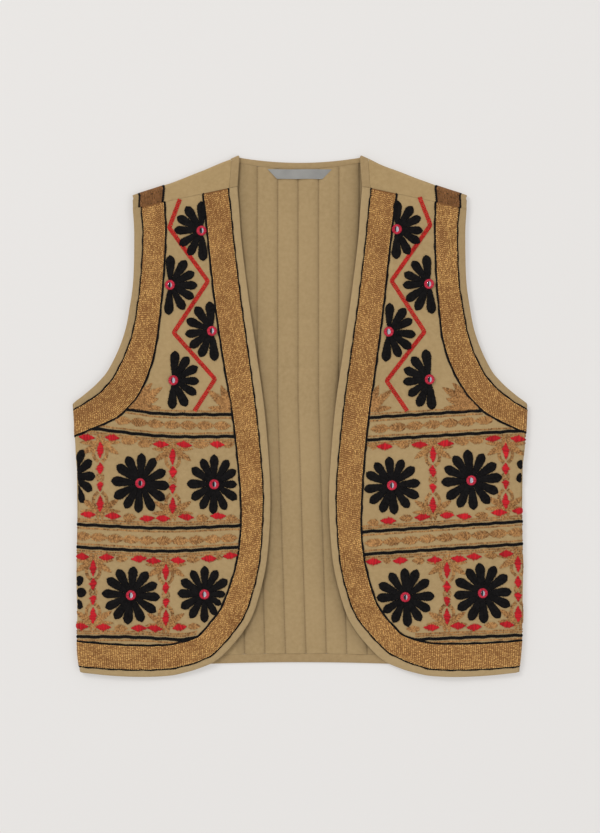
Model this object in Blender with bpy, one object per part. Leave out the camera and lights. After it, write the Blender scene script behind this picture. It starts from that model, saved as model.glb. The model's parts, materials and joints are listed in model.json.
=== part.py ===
"""Embroidered waistcoat, open in front, laid flat on its back.

Metres, +Z up. The neck lies towards +Y, the hem towards -Y, and the wearer's
right side is at -X. The origin is below the middle of the garment, on the
surface that it lies on. Sizes below are in millimetres.

A place on the cloth is (x, y, lift): x outwards from the centre line and y
along the body, both measured along the cloth, and lift out of its outer face.
"""

import math

import bmesh
import bpy
import numpy as np

MM = 0.001

# Cloth and seams
GAP = 0.3
FRONT_WALL = 2.2
QUILT_SEAM_WALL = 1.5
QUILT_CREST_WALL = 2.6
FOLD_WALL = 2.0
BINDING_SWELL = 0.3
BINDING_EDGE_DROP = 0.1
BINDING_EDGE_SHARE = 0.12
BAND_RAISE = 1.0
BAND_EDGE_DROP = 0.4
BAND_EDGE_SHARE = 0.06
FLOWER_RAISE = 1.8
LABEL_WALL = 0.9

# The fronts lie on the back, and rise a little from their free edge to the side
FREE_EDGE_X = 33.0
FREE_EDGE_TOP = 5.4
SIDE_X = 246.0
SIDE_TOP = 7.4

# Forward shoulder: the back folds over the shoulder line and ends in a seam on the chest
SHOULDER_TIP = (184.3, 243.1)
NECK_POINT = (65.7, 287.1)
SHOULDER_LENGTH = math.dist(SHOULDER_TIP, NECK_POINT)
SEAM_AT_ARMHOLE = (183.6, 228.0)
SEAM_AT_NECK = (67.9, 252.4)
FLAP_SHORTEST = 10.0
NECK_BINDING = 0.92

# Back: neckline, hem and quilted channels
NECK_LOW_Y = 278.9
NECK_STRIP = 6.0
HEM_MIDDLE_Y = -270.6
HEM_SIDE_DROP = 11.0
HEM_STRIP = 9.5
CHANNEL = 22.5
CHANNEL_SHIFT = -1.7
CHANNEL_LEAN = 9.0
CHANNEL_CROWN = 0.6
LEAN_FROM_Y = 17.6
CHANNEL_COLUMNS = 4
NECK_COLUMN = 14
NECK_EASE = 60.0

# Label, blank
LABEL_TOP_Y = 271.0
LABEL_BOTTOM_Y = 260.0
LABEL_TOP_HALF = 35.5
LABEL_BOTTOM_HALF = 25.0

# Free edge of a front, from above the shoulder seam round the corner and past the side seam.
# Columns: x, y, width of the binding, width of the gold band inside it
FRONT_EDGE = (
    (67.9, 266.0, 9.2, 27.0),
    (67.9, 250.0, 9.2, 27.0),
    (67.3, 222.0, 9.0, 27.4),
    (65.5, 190.3, 8.9, 27.6),
    (57.9, 127.6, 9.1, 28.0),
    (48.4, 64.9, 9.1, 27.5),
    (40.2, 8.8, 9.0, 26.4),
    (35.4, -45.1, 8.2, 25.3),
    (33.0, -86.9, 7.8, 25.0),
    (33.8, -128.7, 8.2, 23.6),
    (38.1, -170.5, 8.2, 24.6),
    (50.4, -212.3, 7.6, 25.4),
    (61.6, -233.2, 7.4, 25.4),
    (76.5, -251.9, 7.4, 25.8),
    (92.4, -268.0, 7.4, 26.4),
    (110.0, -277.2, 7.6, 26.6),
    (127.6, -282.7, 7.8, 26.8),
    (145.2, -286.0, 8.0, 27.2),
    (173.8, -287.1, 8.2, 27.4),
    (206.8, -285.7, 7.8, 27.4),
    (246.0, -281.6, 7.0, 27.2),
    (275.0, -278.4, 7.0, 27.2),
)
CORNER_ROW = 13

# Armhole, from the shoulder down and past the side seam. Same columns
ARMHOLE = (
    (184.6, 250.0, 8.8, 24.6),
    (183.6, 228.0, 8.8, 24.6),
    (182.1, 199.1, 9.2, 24.4),
    (183.2, 149.6, 8.5, 24.5),
    (187.6, 116.6, 8.0, 25.5),
    (192.0, 94.6, 8.5, 26.8),
    (199.7, 72.6, 8.8, 28.0),
    (210.7, 50.6, 8.6, 28.8),
    (219.5, 39.6, 8.6, 29.0),
    (231.0, 28.6, 8.4, 28.4),
    (250.1, 14.3, 6.8, 26.6),
    (275.0, 3.0, 6.0, 25.6),
)

# Side of the garment as it lies. Columns: y, half width
SIDE_LINE = (
    (-290.0, 244.0),
    (-180.4, 245.9),
    (-108.9, 244.8),
    (-59.4, 245.3),
    (-15.4, 248.1),
    (14.3, 250.1),
    (60.0, 250.1),
)

# Flowers. Columns: side, name, x, y, reach of the petals, facing
FLOWERS = (
    ("right", "tier_1_outer", 175.4, -73.9, 31.5, "all"),
    ("right", "tier_1_inner", 94.1, -75.1, 29.5, "all"),
    ("right", "tier_1_edge", 257.1, -65.6, 31.0, "cut"),
    ("right", "tier_2_outer", 185.6, -197.6, 31.5, "all"),
    ("right", "tier_2_inner", 104.9, -196.1, 29.5, "all"),
    ("right", "tier_2_edge", 267.0, -193.6, 31.0, "cut"),
    ("right", "chest_1", 108.0, 203.8, 30.0, "out"),
    ("right", "chest_2", 142.8, 144.1, 30.0, "in"),
    ("right", "chest_3", 96.5, 93.5, 30.0, "out"),
    ("right", "chest_4", 139.1, 39.3, 30.0, "in"),
    ("left", "tier_1_outer", 188.6, -70.8, 31.5, "all"),
    ("left", "tier_1_inner", 101.3, -76.2, 31.0, "all"),
    ("left", "tier_1_edge", 269.8, -66.0, 31.0, "cut"),
    ("left", "tier_2_outer", 201.2, -194.7, 31.5, "all"),
    ("left", "tier_2_inner", 116.1, -199.1, 31.0, "all"),
    ("left", "chest_1", 106.8, 205.3, 30.0, "out"),
    ("left", "chest_2", 142.2, 145.2, 30.0, "in"),
    ("left", "chest_3", 97.8, 92.7, 30.0, "out"),
    ("left", "chest_4", 142.9, 40.2, 30.0, "in"),
)
PETALS_ROUND = 12
PETALS_HALF = 7
HALF_FLOWER_STEP = 28.0
NOTCH = 0.42
# Columns: share of a petal's pitch to either side, share of its reach
PETAL_TIP = ((-0.36, 0.86), (0.0, 1.0), (0.36, 0.86))
EYE = 3.2
SHORTEST_PETAL = 0.3
SMALLEST_PETAL_AREA = 4.0
BAND_CLEARANCE = 1.2

# How finely each piece is divided
CURVE_STEPS = 24
CURVE_SAMPLES = 600
BAND_LINE_SAMPLES = 400
REACH_SAMPLES = 30
LOW_LINE_POINTS = 12
SHARP_ANGLE = 35.0
CURL_STEPS = 3
TURN_STEPS = 4
FLAP_STEPS = 2
SHOULDER_BAND_STAGES = (2.0, 1.5, 1.0, 0.75, 0.6)
SIDE_ROWS = 7
ARMHOLE_ROWS = 9
FRONT_COLUMNS = 11
BACK_OUTER_COLUMNS = 10
EDGE_STATIONS = 34
NECK_STATIONS = 8
HEM_STATIONS = 20

SIDES = (("right", -1.0), ("left", 1.0))

# Columns: red, green, blue (linear), roughness
CLOTH = (0.36, 0.25, 0.13, 0.85)
LINING = (0.33, 0.23, 0.12, 0.85)
BINDING = (0.40, 0.29, 0.16, 0.8)
GOLD = (0.34, 0.18, 0.06, 0.5)
DARK_GOLD = (0.16, 0.08, 0.03, 0.5)
BLACK = (0.012, 0.011, 0.01, 0.8)
SILVER = (0.4, 0.4, 0.38, 0.4)


def clear_scene():
    for thing in list(bpy.data.objects):
        bpy.data.objects.remove(thing, do_unlink=True)


def make_material(name, look):
    material = bpy.data.materials.new(name)
    material.use_nodes = True
    shader = material.node_tree.nodes["Principled BSDF"]
    shader.inputs["Base Color"].default_value = (look[0], look[1], look[2], 1.0)
    shader.inputs["Roughness"].default_value = look[3]
    shader.inputs["Metallic"].default_value = 0.0
    return material


def smooth_curve(rows):
    """A Catmull-Rom curve through the rows, every column with it, in even steps of length."""
    rows = np.array(rows, dtype=float)
    ends = np.vstack([2 * rows[0] - rows[1], rows, 2 * rows[-1] - rows[-2]])
    pieces = []
    for a, b, c, d in zip(ends, ends[1:], ends[2:], ends[3:]):
        t = np.linspace(0.0, 1.0, CURVE_STEPS, endpoint=False)[:, None]
        pieces.append(0.5 * (2 * b + (c - a) * t + (2 * a - 5 * b + 4 * c - d) * t**2
                             + (3 * b - a - 3 * c + d) * t**3))
    fine = np.vstack(pieces + [rows[-1:]])
    return resample(fine, CURVE_SAMPLES)


def resample(points, count):
    steps = np.hypot(*np.diff(points[:, :2], axis=0).T)
    length = np.concatenate([[0.0], np.cumsum(steps)])
    wanted = np.linspace(0.0, length[-1], count)
    return np.column_stack([np.interp(wanted, length, column) for column in points.T])


def moved_in(curve, distance, turn):
    """The curve moved sideways into the cloth, to its left for turn 1 and its right for -1."""
    tangent = np.gradient(curve[:, :2], axis=0)
    tangent /= np.hypot(tangent[:, 0], tangent[:, 1])[:, None]
    normal = np.column_stack([-tangent[:, 1], tangent[:, 0]]) * turn
    return curve[:, :2] + normal * np.reshape(distance, (-1, 1))


def side_line(y):
    heights, halves = zip(*SIDE_LINE)
    return np.interp(y, heights, halves)


def front_top(x):
    """Height of a front's outer face."""
    return FREE_EDGE_TOP + (SIDE_TOP - FREE_EDGE_TOP) * (x - FREE_EDGE_X) / (SIDE_X - FREE_EDGE_X)


def side_fold(y):
    """Where the cloth starts to curl at the side, and the radius of that curl."""
    radius = front_top(side_line(y)) / 2
    return side_line(y) - radius, radius


def on_front(x, y, lift):
    start, radius = side_fold(y)
    if x <= start:
        return x, y, front_top(x) + lift
    angle = (x - start) / radius
    reach = radius + lift
    return start + reach * math.sin(angle), y, radius + reach * math.cos(angle)


def on_back(x, y, lift):
    start, radius = side_fold(y)
    if abs(x) <= start:
        return x, y, -lift
    angle = (abs(x) - start) / radius
    reach = radius + lift
    return math.copysign(start + reach * math.sin(angle), x), y, radius - reach * math.cos(angle)


def on_shoulder(across, stage, lift):
    """across runs from the armhole, 0, to the neck, 1. stage 0 to 1 is the turn over the
    shoulder line and 1 to 2 the flap down to the seam on the chest."""
    tip, neck = np.array(SHOULDER_TIP), np.array(NECK_POINT)
    along = (neck - tip) / np.hypot(*(neck - tip))
    inward = np.array([-along[1], along[0]])
    fold = tip + (neck - tip) * across
    radius = front_top(fold[0]) / 2
    if stage <= 1:
        angle = math.pi * stage
        place = fold + inward * (radius - (radius + lift) * math.sin(angle))
        return place[0], place[1], radius - (radius + lift) * math.cos(angle)
    seam = np.array(SEAM_AT_ARMHOLE) * (1 - across) + np.array(SEAM_AT_NECK) * across
    start = fold + inward * radius
    place = start + (seam - start) * (stage - 1)
    return place[0], place[1], front_top(place[0]) + lift


def turn_start():
    """The line where the back starts to turn over the shoulder, from the armhole to the neck."""
    return shoulder_start(0.0), shoulder_start(1.0)


def chest_seam():
    """The top of a front, half a gap below the seam on the chest."""
    ends = np.array(SEAM_AT_ARMHOLE), np.array(SEAM_AT_NECK)
    run = (ends[1] - ends[0]) / np.hypot(*(ends[1] - ends[0]))
    below = np.array([run[1], -run[0]]) * -GAP / 2
    return ends[0] - below, ends[1] - below


def stations(points, count, top):
    """Places on a line of points between the line top and the side seam: count + 1 even ones
    before the side curl, then one for each step of the curl."""
    a, b = top
    height = cross(b - a, points - a)
    points = trimmed(points, height)
    start = np.array([side_fold(y)[0] for y in points[:, 1]])
    radius = np.array([side_fold(y)[1] for y in points[:, 1]])
    past = (points[:, 0] - start) / (radius * math.pi / 2)
    first = int(np.argmax(past > 0))
    before = np.vstack([points[:first], at_level(points, past, first, 0.0)])
    end = 1.0 - GAP / 2 / (radius[first] * math.pi / 2)
    curl = [at_level(points, past, first, end * step / CURL_STEPS) for step in range(1, CURL_STEPS + 1)]
    return np.vstack([resample(before, count + 1)] + curl)


def trimmed(points, height):
    """The points from where their height over a line changes sign."""
    first = int(np.argmax(height * height[-1] > 0))
    share = height[first - 1] / (height[first - 1] - height[first])
    start = points[first - 1] + (points[first] - points[first - 1]) * share
    return np.vstack([start, points[first:]])


def at_level(points, values, first, level):
    """The point where the values, which rise from first - 1 on, reach a level."""
    return np.array([[np.interp(level, values[first - 1:], column[first - 1:]) for column in points.T]])


def edge_curves(table, turn, count, top):
    """Stations of an edge's free line, both sides of its binding's seam, and its band's far side."""
    curve = smooth_curve(table)
    binding, band = curve[:, 2], curve[:, 3]
    distances = (0 * binding, binding - GAP / 2, binding + GAP / 2, binding + band)
    return [stations(moved_in(curve, distance, turn), count, top) for distance in distances]


def add_mesh(name, points, faces, material, collection, side=1.0):
    """One closed body from points in millimetres, its faces turned outwards."""
    mesh = bpy.data.meshes.new(name)
    mesh.from_pydata([(p[0] * side * MM, p[1] * MM, p[2] * MM) for p in points], [], faces)
    form = bmesh.new()
    form.from_mesh(mesh)
    bmesh.ops.recalc_face_normals(form, faces=form.faces)
    form.to_mesh(mesh)
    form.free()
    mesh.shade_smooth()
    mesh.set_sharp_from_angle(angle=math.radians(SHARP_ANGLE))
    thing = bpy.data.objects.new(name, mesh)
    thing.data.materials.append(material)
    collection.objects.link(thing)
    return thing


def add_wall(name, cells, outer, inner, material, collection, side=1.0):
    """A cloth wall: an outer and an inner face of the same cells, joined round their rims."""
    count = len(outer)
    rims = {}
    for cell in cells:
        for a, b in zip(cell, cell[1:] + cell[:1]):
            rims.setdefault(frozenset((a, b)), []).append((a, b))
    faces = [tuple(cell) for cell in cells]
    faces += [tuple(count + i for i in reversed(cell)) for cell in cells]
    faces += [(b, a, count + a, count + b) for (a, b), *more in rims.values() if not more]
    return add_mesh(name, outer + inner, faces, material, collection, side)


def add_loft(name, rings, material, collection, side=1.0):
    """Equal rings joined in turn, closed with a cap at each end."""
    size = len(rings[0])
    points = [point for ring in rings for point in ring]
    faces = [tuple(range(size)), tuple(range(len(points) - size, len(points)))]
    for ring in range(len(rings) - 1):
        low, high = ring * size, (ring + 1) * size
        for i in range(size):
            j = (i + 1) % size
            faces.append((low + i, low + j, high + j, high + i))
    return add_mesh(name, points, faces, material, collection, side)


def grid_cells(rows, columns):
    cells = []
    for row in range(rows - 1):
        for column in range(columns - 1):
            corner = row * columns + column
            cells.append((corner, corner + 1, corner + columns + 1, corner + columns))
    return cells


def strip_rings(outside, inside, section, placed):
    """Rings of a section, given as (share of the width, lift), along two lines of stations."""
    rings = []
    for a, b in zip(outside, inside):
        rings.append([placed(a[0] + (b[0] - a[0]) * f, a[1] + (b[1] - a[1]) * f, lift)
                      for f, lift in section])
    return rings


def shoulder_rings(outside, inside, stages, section):
    return [[on_shoulder(outside + (inside - outside) * f, stage, lift) for f, lift in section]
            for stage in stages]


def flat_section():
    """Of a raised band: soft long edges over a plain underside."""
    top = GAP + BAND_RAISE
    edge, turn = top - BAND_EDGE_DROP, BAND_EDGE_SHARE
    return [(0.0, GAP), (0.0, edge), (turn, top), (1.0 - turn, top), (1.0, edge), (1.0, GAP)]


def front_binding_section():
    low, drop, turn = -FRONT_WALL, BINDING_EDGE_DROP, BINDING_EDGE_SHARE
    return [(1.0, 0.0), (0.5, BINDING_SWELL), (turn, drop), (0.0, low / 2),
            (turn, low - drop), (0.5, low - BINDING_SWELL), (1.0, low)]


def back_binding_section():
    low, turn = -FOLD_WALL, BINDING_EDGE_SHARE
    return [(1.0, 0.0), (turn, 0.0), (0.0, low / 2), (turn, low - BINDING_EDGE_DROP),
            (0.5, low - BINDING_SWELL), (1.0, low)]


def blend_patch(bottom, top, left, right, column_share):
    """Rows between four sides: bottom and top are functions of the share across, left and
    right are rows of points, and column_share gives each row's shares across."""
    rows = len(left)
    patch = []
    for row in range(rows):
        v = row / (rows - 1)
        line = []
        for u in column_share(row):
            edge = (1 - u) * left[row] + u * right[row]
            rim = (1 - v) * bottom(u) + v * top(u)
            corners = ((1 - v) * ((1 - u) * bottom(0) + u * bottom(1))
                       + v * ((1 - u) * top(0) + u * top(1)))
            line.append(edge + rim - corners)
        patch.append(line)
    return patch


def along(points):
    """A function giving the point at a share of the length of a line of points."""
    points = np.array(points)
    steps = np.hypot(*np.diff(points, axis=0).T)
    share = np.concatenate([[0.0], np.cumsum(steps)]) / steps.sum()
    return lambda u: np.array([np.interp(u, share, points[:, 0]), np.interp(u, share, points[:, 1])])


def outer_side(hem_y, armhole_stations):
    """Points up the side seam and on round the armhole, inside its binding."""
    underarm_y = armhole_stations[-1][1]
    side = []
    for step in range(SIDE_ROWS):
        y = hem_y + (underarm_y - hem_y) * step / SIDE_ROWS
        start, radius = side_fold(y)
        side.append((start + radius * math.pi / 2 - GAP / 2, y))
    return np.vstack([np.array(side), armhole_stations[::-1]])


def columns_to_side(left, right, plain):
    """Shares across a row: plain even ones, then the steps of the side curl."""
    width = np.hypot(*(right - left))
    curl = side_fold(right[1])[1] * math.pi / 2 - GAP / 2
    start = 1.0 - curl / width
    shares = [start * i / plain for i in range(plain + 1)]
    return shares + [start + (1.0 - start) * i / CURL_STEPS for i in range(1, CURL_STEPS + 1)]


def garment_lines():
    """The lines that pieces share: round a front's free edge, a front's armhole and the back's."""
    edge = edge_curves(FRONT_EDGE, 1.0, EDGE_STATIONS, chest_seam())
    front_hole = edge_curves(ARMHOLE, -1.0, ARMHOLE_ROWS, chest_seam())
    back_hole = edge_curves(ARMHOLE, -1.0, ARMHOLE_ROWS, turn_start())
    return edge, front_hole, back_hole


def add_front(name, edge, hole, side, material, collection):
    """A front panel inside its bindings, from the corner of the hem up to the shoulder seam."""
    inset = edge[2]
    turn = int(np.argmin(np.hypot(inset[:, 0] - FRONT_EDGE[CORNER_ROW][0],
                                  inset[:, 1] - FRONT_EDGE[CORNER_ROW][1])))
    right = outer_side(inset[-1][1], hole[2])
    rise = along(inset[:turn + 1][::-1])
    heights = (right[:, 1] - right[0][1]) / (right[-1][1] - right[0][1])
    left = np.array([rise(share) for share in heights])
    patch = blend_patch(along(inset[turn:]), along([left[-1], right[-1]]), left, right,
                        lambda row: columns_to_side(left[row], right[row], FRONT_COLUMNS))
    places = [place for row in patch for place in row]
    outer = [on_front(x, y, 0.0) for x, y in places]
    inner = [on_front(x, y, -FRONT_WALL) for x, y in places]
    add_wall(name, grid_cells(len(patch), len(patch[0])), outer, inner, material, collection, side)


def hem_line(x):
    return HEM_MIDDLE_Y - HEM_SIDE_DROP * (x / SIDE_X) ** 2


def neck_seam(x, move):
    """y of the seam of the neck's binding behind the neck, moved by half a gap or so."""
    low = NECK_LOW_Y - NECK_STRIP
    corner = shoulder_start(NECK_BINDING)
    return low + (corner[1] - low) * (x / corner[0]) ** 2 + move


def quilt_column(k, y, top_y, corner_x):
    """x of a column of the quilting, four to a channel, easing to the neck's corner."""
    lean = CHANNEL_LEAN * min(max((LEAN_FROM_Y - y) / (LEAN_FROM_Y - HEM_MIDDLE_Y), 0.0), 1.0)
    x = CHANNEL_SHIFT + lean + k * CHANNEL / CHANNEL_COLUMNS
    ease = min(max(1.0 - (top_y - y) / NECK_EASE, 0.0), 1.0)
    return x + (k / NECK_COLUMN * corner_x - x) * ease


def shoulder_start(across):
    return np.array(on_shoulder(across, 0.0, 0.0)[:2])


def quilt_wall(k):
    """The back's thickness at a column: thin at each seam of the quilting, full between."""
    crown = abs(math.sin(math.pi * k / CHANNEL_COLUMNS)) ** CHANNEL_CROWN
    return QUILT_SEAM_WALL + (QUILT_CREST_WALL - QUILT_SEAM_WALL) * crown


def add_back(hole, material, collection):
    """The quilted back with both shoulder flaps: a flat outer face on the ground, its lining
    raised in channels, its sides curled up to the side seams."""
    hem_y = hem_line(SIDE_X) + HEM_STRIP + GAP / 2
    right = outer_side(hem_y, hole[2])
    neck = shoulder_start(NECK_BINDING) + np.array([GAP / 2, 0.0])
    share = (right[:, 1] - right[0][1]) / (right[-1][1] - right[0][1])
    rows = len(right)
    flat, walls, found = [], [], {}

    def put(row, number, x, y, wall):
        found[row, number] = len(flat)
        flat.append((x, y))
        walls.append(wall)

    for row in range(rows):
        for k in range(-NECK_COLUMN, NECK_COLUMN + 1):
            corner_x = abs(k) / NECK_COLUMN * neck[0]
            top_y = neck[1] if abs(k) == NECK_COLUMN else neck_seam(corner_x, -GAP / 2)
            low_y = hem_line(quilt_column(k, hem_y, top_y, neck[0])) + HEM_STRIP + GAP / 2
            y = low_y + (top_y - low_y) * share[row]
            put(row, k, quilt_column(k, y, top_y, neck[0]), y, quilt_wall(k))
    for side in (-1, 1):
        left = [flat[found[row, side * NECK_COLUMN]] for row in range(rows)]
        left = np.array([(abs(x), y) for x, y in left])
        low = [(x, hem_line(x) + HEM_STRIP + GAP / 2)
               for x in np.linspace(left[0][0], SIDE_X, LOW_LINE_POINTS)]
        patch = blend_patch(along(low + [tuple(right[0])]), along([left[-1], right[-1]]), left, right,
                            lambda row: columns_to_side(left[row], right[row], BACK_OUTER_COLUMNS))
        for row in range(rows):
            for column, (x, y) in enumerate(patch[row][1:], start=1):
                wall = quilt_wall(NECK_COLUMN + 2 * column) if column < BACK_OUTER_COLUMNS else FOLD_WALL
                put(row, side * (NECK_COLUMN + column), side * x, y, wall)
    outer = [on_back(x, y, 0.0) for x, y in flat]
    inner = [on_back(x, y, -wall) for (x, y), wall in zip(flat, walls)]
    width = NECK_COLUMN + BACK_OUTER_COLUMNS + CURL_STEPS
    cells = [tuple(found[cell] for cell in ((row, n), (row, n + 1), (row + 1, n + 1), (row + 1, n)))
             for row in range(rows - 1) for n in range(-width, width)]
    for side in (-1, 1):
        top_row = [found[rows - 1, side * n] for n in range(NECK_COLUMN, width + 1)]
        add_flap(top_row, side, outer, inner, cells)
    add_wall("back", cells, outer, inner, material, collection)


def add_flap(previous, side, outer, inner, cells):
    """Rows over a shoulder line and down to the seam, from the back's own top row."""
    stages = [i / TURN_STEPS for i in range(1, TURN_STEPS + 1)]
    stages += [1 + i / FLAP_STEPS for i in range(1, FLAP_STEPS + 1)]
    across = [share_across(outer[i]) for i in previous]
    for stage in stages:
        row = []
        for share in across:
            row.append(len(outer))
            for skin, lift in ((outer, 0.0), (inner, -FOLD_WALL)):
                x, y, z = on_shoulder(share, before_seam(stage), lift)
                skin.append((side * x, y, z))
        cells += [(previous[i], previous[i + 1], row[i + 1], row[i]) for i in range(len(row) - 1)]
        previous = row


def share_across(point):
    """The share across the shoulder of a point on the line where its turn starts."""
    ends = shoulder_start(0.0), shoulder_start(1.0)
    return (ends[0][0] - abs(point[0])) / (ends[0][0] - ends[1][0])


def before_seam(stage):
    """Stops a flap half a gap short of the seam on the chest."""
    return min(stage, 2.0 - GAP / FLAP_SHORTEST)


def add_bindings(edge, front_hole, back_hole, material, collection):
    front, back = front_binding_section(), back_binding_section()
    for name, side in SIDES:
        add_loft(f"binding_front_{name}", strip_rings(edge[0], edge[1], front, on_front),
                 material, collection, side)
        add_loft(f"binding_armhole_front_{name}",
                 strip_rings(front_hole[0], front_hole[1], front, on_front), material, collection, side)
        over = shoulder_rings(0.0, share_across(back_hole[1][0]), turn_stages(), back)
        down = strip_rings(back_hole[0], back_hole[1], back, on_back)
        add_loft(f"binding_armhole_back_{name}", over + down[1:], material, collection, side)
    add_neck_binding(material, collection)
    add_hem_binding(material, collection)


def turn_stages():
    """From the seam on the chest back over the shoulder line."""
    flap = [2 - i / FLAP_STEPS for i in range(FLAP_STEPS)]
    turn = [1 - i / TURN_STEPS for i in range(TURN_STEPS + 1)]
    return [before_seam(stage) for stage in flap + turn]


def add_neck_binding(material, collection):
    """From one seam on the chest over the shoulder, along the back of the neck to the other."""
    section = back_binding_section()
    share = NECK_BINDING + GAP / SHOULDER_LENGTH
    wing = shoulder_rings(1.0, share, turn_stages(), section)
    corner, end = shoulder_start(share), shoulder_start(1.0)
    shares = np.linspace(1.0, -1.0, NECK_STATIONS * 2 + 1)[1:-1]
    outside = [(end[0] * u, NECK_LOW_Y + (end[1] - NECK_LOW_Y) * u * u) for u in shares]
    inside = [(corner[0] * u, neck_seam(corner[0] * u, GAP / 2)) for u in shares]
    middle = strip_rings(outside, inside, section, on_back)
    mirrored = [[(-x, y, z) for x, y, z in ring] for ring in wing[::-1]]
    add_loft("binding_neck", wing + middle + mirrored, material, collection)


def add_hem_binding(material, collection):
    start, radius = side_fold(hem_line(SIDE_X))
    curl = radius * math.pi / 2 - GAP / 2
    right = [start + curl * i / CURL_STEPS for i in range(CURL_STEPS, 0, -1)]
    xs = right + list(np.linspace(start, -start, HEM_STATIONS)) + [-x for x in right[::-1]]
    outside = [(x, hem_line(min(abs(x), SIDE_X))) for x in xs]
    inside = [(x, y + HEM_STRIP - GAP / 2) for x, y in outside]
    add_loft("binding_hem", strip_rings(outside, inside, back_binding_section(), on_back),
             material, collection)


def add_bands(edge, front_hole, back_hole, materials, collection):
    """Gold bands on each front, and the stretch of the armhole's band on the shoulder."""
    section = flat_section()
    for name, side in SIDES:
        add_loft(f"band_edge_{name}", strip_rings(edge[2], edge[3], section, on_front),
                 materials["gold"], collection, side)
        add_loft(f"band_armhole_{name}", strip_rings(front_hole[2], front_hole[3], section, on_front),
                 materials["gold"], collection, side)
        stages = [before_seam(stage) for stage in SHOULDER_BAND_STAGES]
        shares = [share_across(line[0]) for line in back_hole[2:]]
        add_loft(f"band_shoulder_{name}", shoulder_rings(*shares, stages, section),
                 materials["dark_gold"], collection, side)


def petal_outline(x, y, reach, facing, lines):
    """Outline of a flower: a round tip for each petal with a notch between, each petal's
    reach shortened where a band runs close. A half flower has a flat side towards the band."""
    half = facing in ("in", "out")
    step = math.radians(HALF_FLOWER_STEP) if half else 2 * math.pi / PETALS_ROUND
    count = PETALS_HALF if half else PETALS_ROUND
    first = (math.pi if facing == "in" else 0.0) - step * (count - 1) / 2 if half else 0.0
    outline = []
    for petal in range(count):
        middle = first + petal * step
        tip = [(middle + turn * step, share) for turn, share in PETAL_TIP]
        room = min(clear_reach(x, y, angle, reach, lines) for angle, share in tip)
        outline += [(x + room * share * math.cos(angle), y + room * share * math.sin(angle))
                    for angle, share in tip]
        notch = middle + step / 2
        if petal < count - 1 or not half:
            outline.append((x + NOTCH * room * math.cos(notch), y + NOTCH * room * math.sin(notch)))
    if half:
        back = EYE if facing == "in" else -EYE
        outline += [(x + back, y - back), (x + back, y + back)]
    return outline


def clear_reach(x, y, angle, reach, lines):
    """The longest reach along a direction that stays clear of the bands."""
    centre, way = np.array([x, y]), np.array([math.cos(angle), math.sin(angle)])
    for share in np.linspace(1.0, SHORTEST_PETAL, REACH_SAMPLES):
        tip = centre + way * reach * share
        near = min(np.min(np.hypot(*(line - tip).T)) for line in lines)
        if near > BAND_CLEARANCE and not any(crosses(centre, tip, line) for line in lines):
            return reach * share
    return reach * SHORTEST_PETAL


def crosses(start, end, line):
    a, b = line[:-1], line[1:]
    one = cross(end - start, a - start) * cross(end - start, b - start)
    two = cross(b - a, start - a) * cross(b - a, end - a)
    return bool(np.any((one < 0) & (two < 0)))


def cross(a, b):
    return a[..., 0] * b[..., 1] - a[..., 1] * b[..., 0]


def petals_inside(outline):
    """What an outline that starts past the side keeps inside the line where the cloth starts to
    curl: one closed outline for each petal that reaches in."""
    petals, petal = [], []
    for a, b in zip(outline, outline[1:] + outline[:1]):
        limit_a, limit_b = side_fold(a[1])[0] - GAP, side_fold(b[1])[0] - GAP
        inside_a, inside_b = a[0] < limit_a, b[0] < limit_b
        if inside_a:
            petal.append(a)
        if inside_a != inside_b:
            t = (limit_a - a[0]) / (b[0] - a[0])
            petal.append((limit_a, a[1] + (b[1] - a[1]) * t))
        if inside_a and not inside_b:
            petals.append(petal)
            petal = []
    return [petal for petal in petals if area_of(petal) > SMALLEST_PETAL_AREA]


def area_of(outline):
    """Area inside a closed outline, by the shoelace rule."""
    points = np.array(outline)
    return abs(np.sum(cross(points, np.roll(points, -1, axis=0)))) / 2


def add_flowers(edge, hole, material, collection):
    """Each flower as one solid, and each petal by itself of a flower that the side seam cuts."""
    lines = [resample(edge[3], BAND_LINE_SAMPLES), resample(hole[3], BAND_LINE_SAMPLES)]
    signs = dict(SIDES)
    for side, name, x, y, reach, facing in FLOWERS:
        outlines = {f"flower_{side}_{name}": petal_outline(x, y, reach, facing, lines)}
        if facing == "cut":
            (whole, outline), = outlines.items()
            petals = petals_inside(outline)
            outlines = {f"{whole}_petal_{n}": petal for n, petal in enumerate(petals, start=1)}
        for node, outline in outlines.items():
            rings = [[on_front(px, py, lift) for px, py in outline] for lift in (GAP, GAP + FLOWER_RAISE)]
            add_loft(node, rings, material, collection, signs[side])


def add_label(material, collection):
    base = QUILT_CREST_WALL + GAP
    corners = [(-LABEL_TOP_HALF, LABEL_TOP_Y), (LABEL_TOP_HALF, LABEL_TOP_Y),
               (LABEL_BOTTOM_HALF, LABEL_BOTTOM_Y), (-LABEL_BOTTOM_HALF, LABEL_BOTTOM_Y)]
    rings = [[(x, y, z) for x, y in corners] for z in (base, base + LABEL_WALL)]
    add_loft("label", rings, material, collection)


def main():
    clear_scene()
    collection = bpy.data.collections.new("embroidered_waistcoat")
    bpy.context.scene.collection.children.link(collection)
    looks = {"cloth": CLOTH, "lining": LINING, "binding": BINDING, "gold": GOLD,
             "dark_gold": DARK_GOLD, "black": BLACK, "silver": SILVER}
    materials = {name: make_material(name, look) for name, look in looks.items()}
    edge, front_hole, back_hole = garment_lines()
    add_back(back_hole, materials["lining"], collection)
    for name, side in SIDES:
        add_front(f"front_{name}", edge, front_hole, side, materials["cloth"], collection)
    add_bindings(edge, front_hole, back_hole, materials["binding"], collection)
    add_bands(edge, front_hole, back_hole, materials, collection)
    add_flowers(edge, front_hole, materials["black"], collection)
    add_label(materials["silver"], collection)


main()
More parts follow.
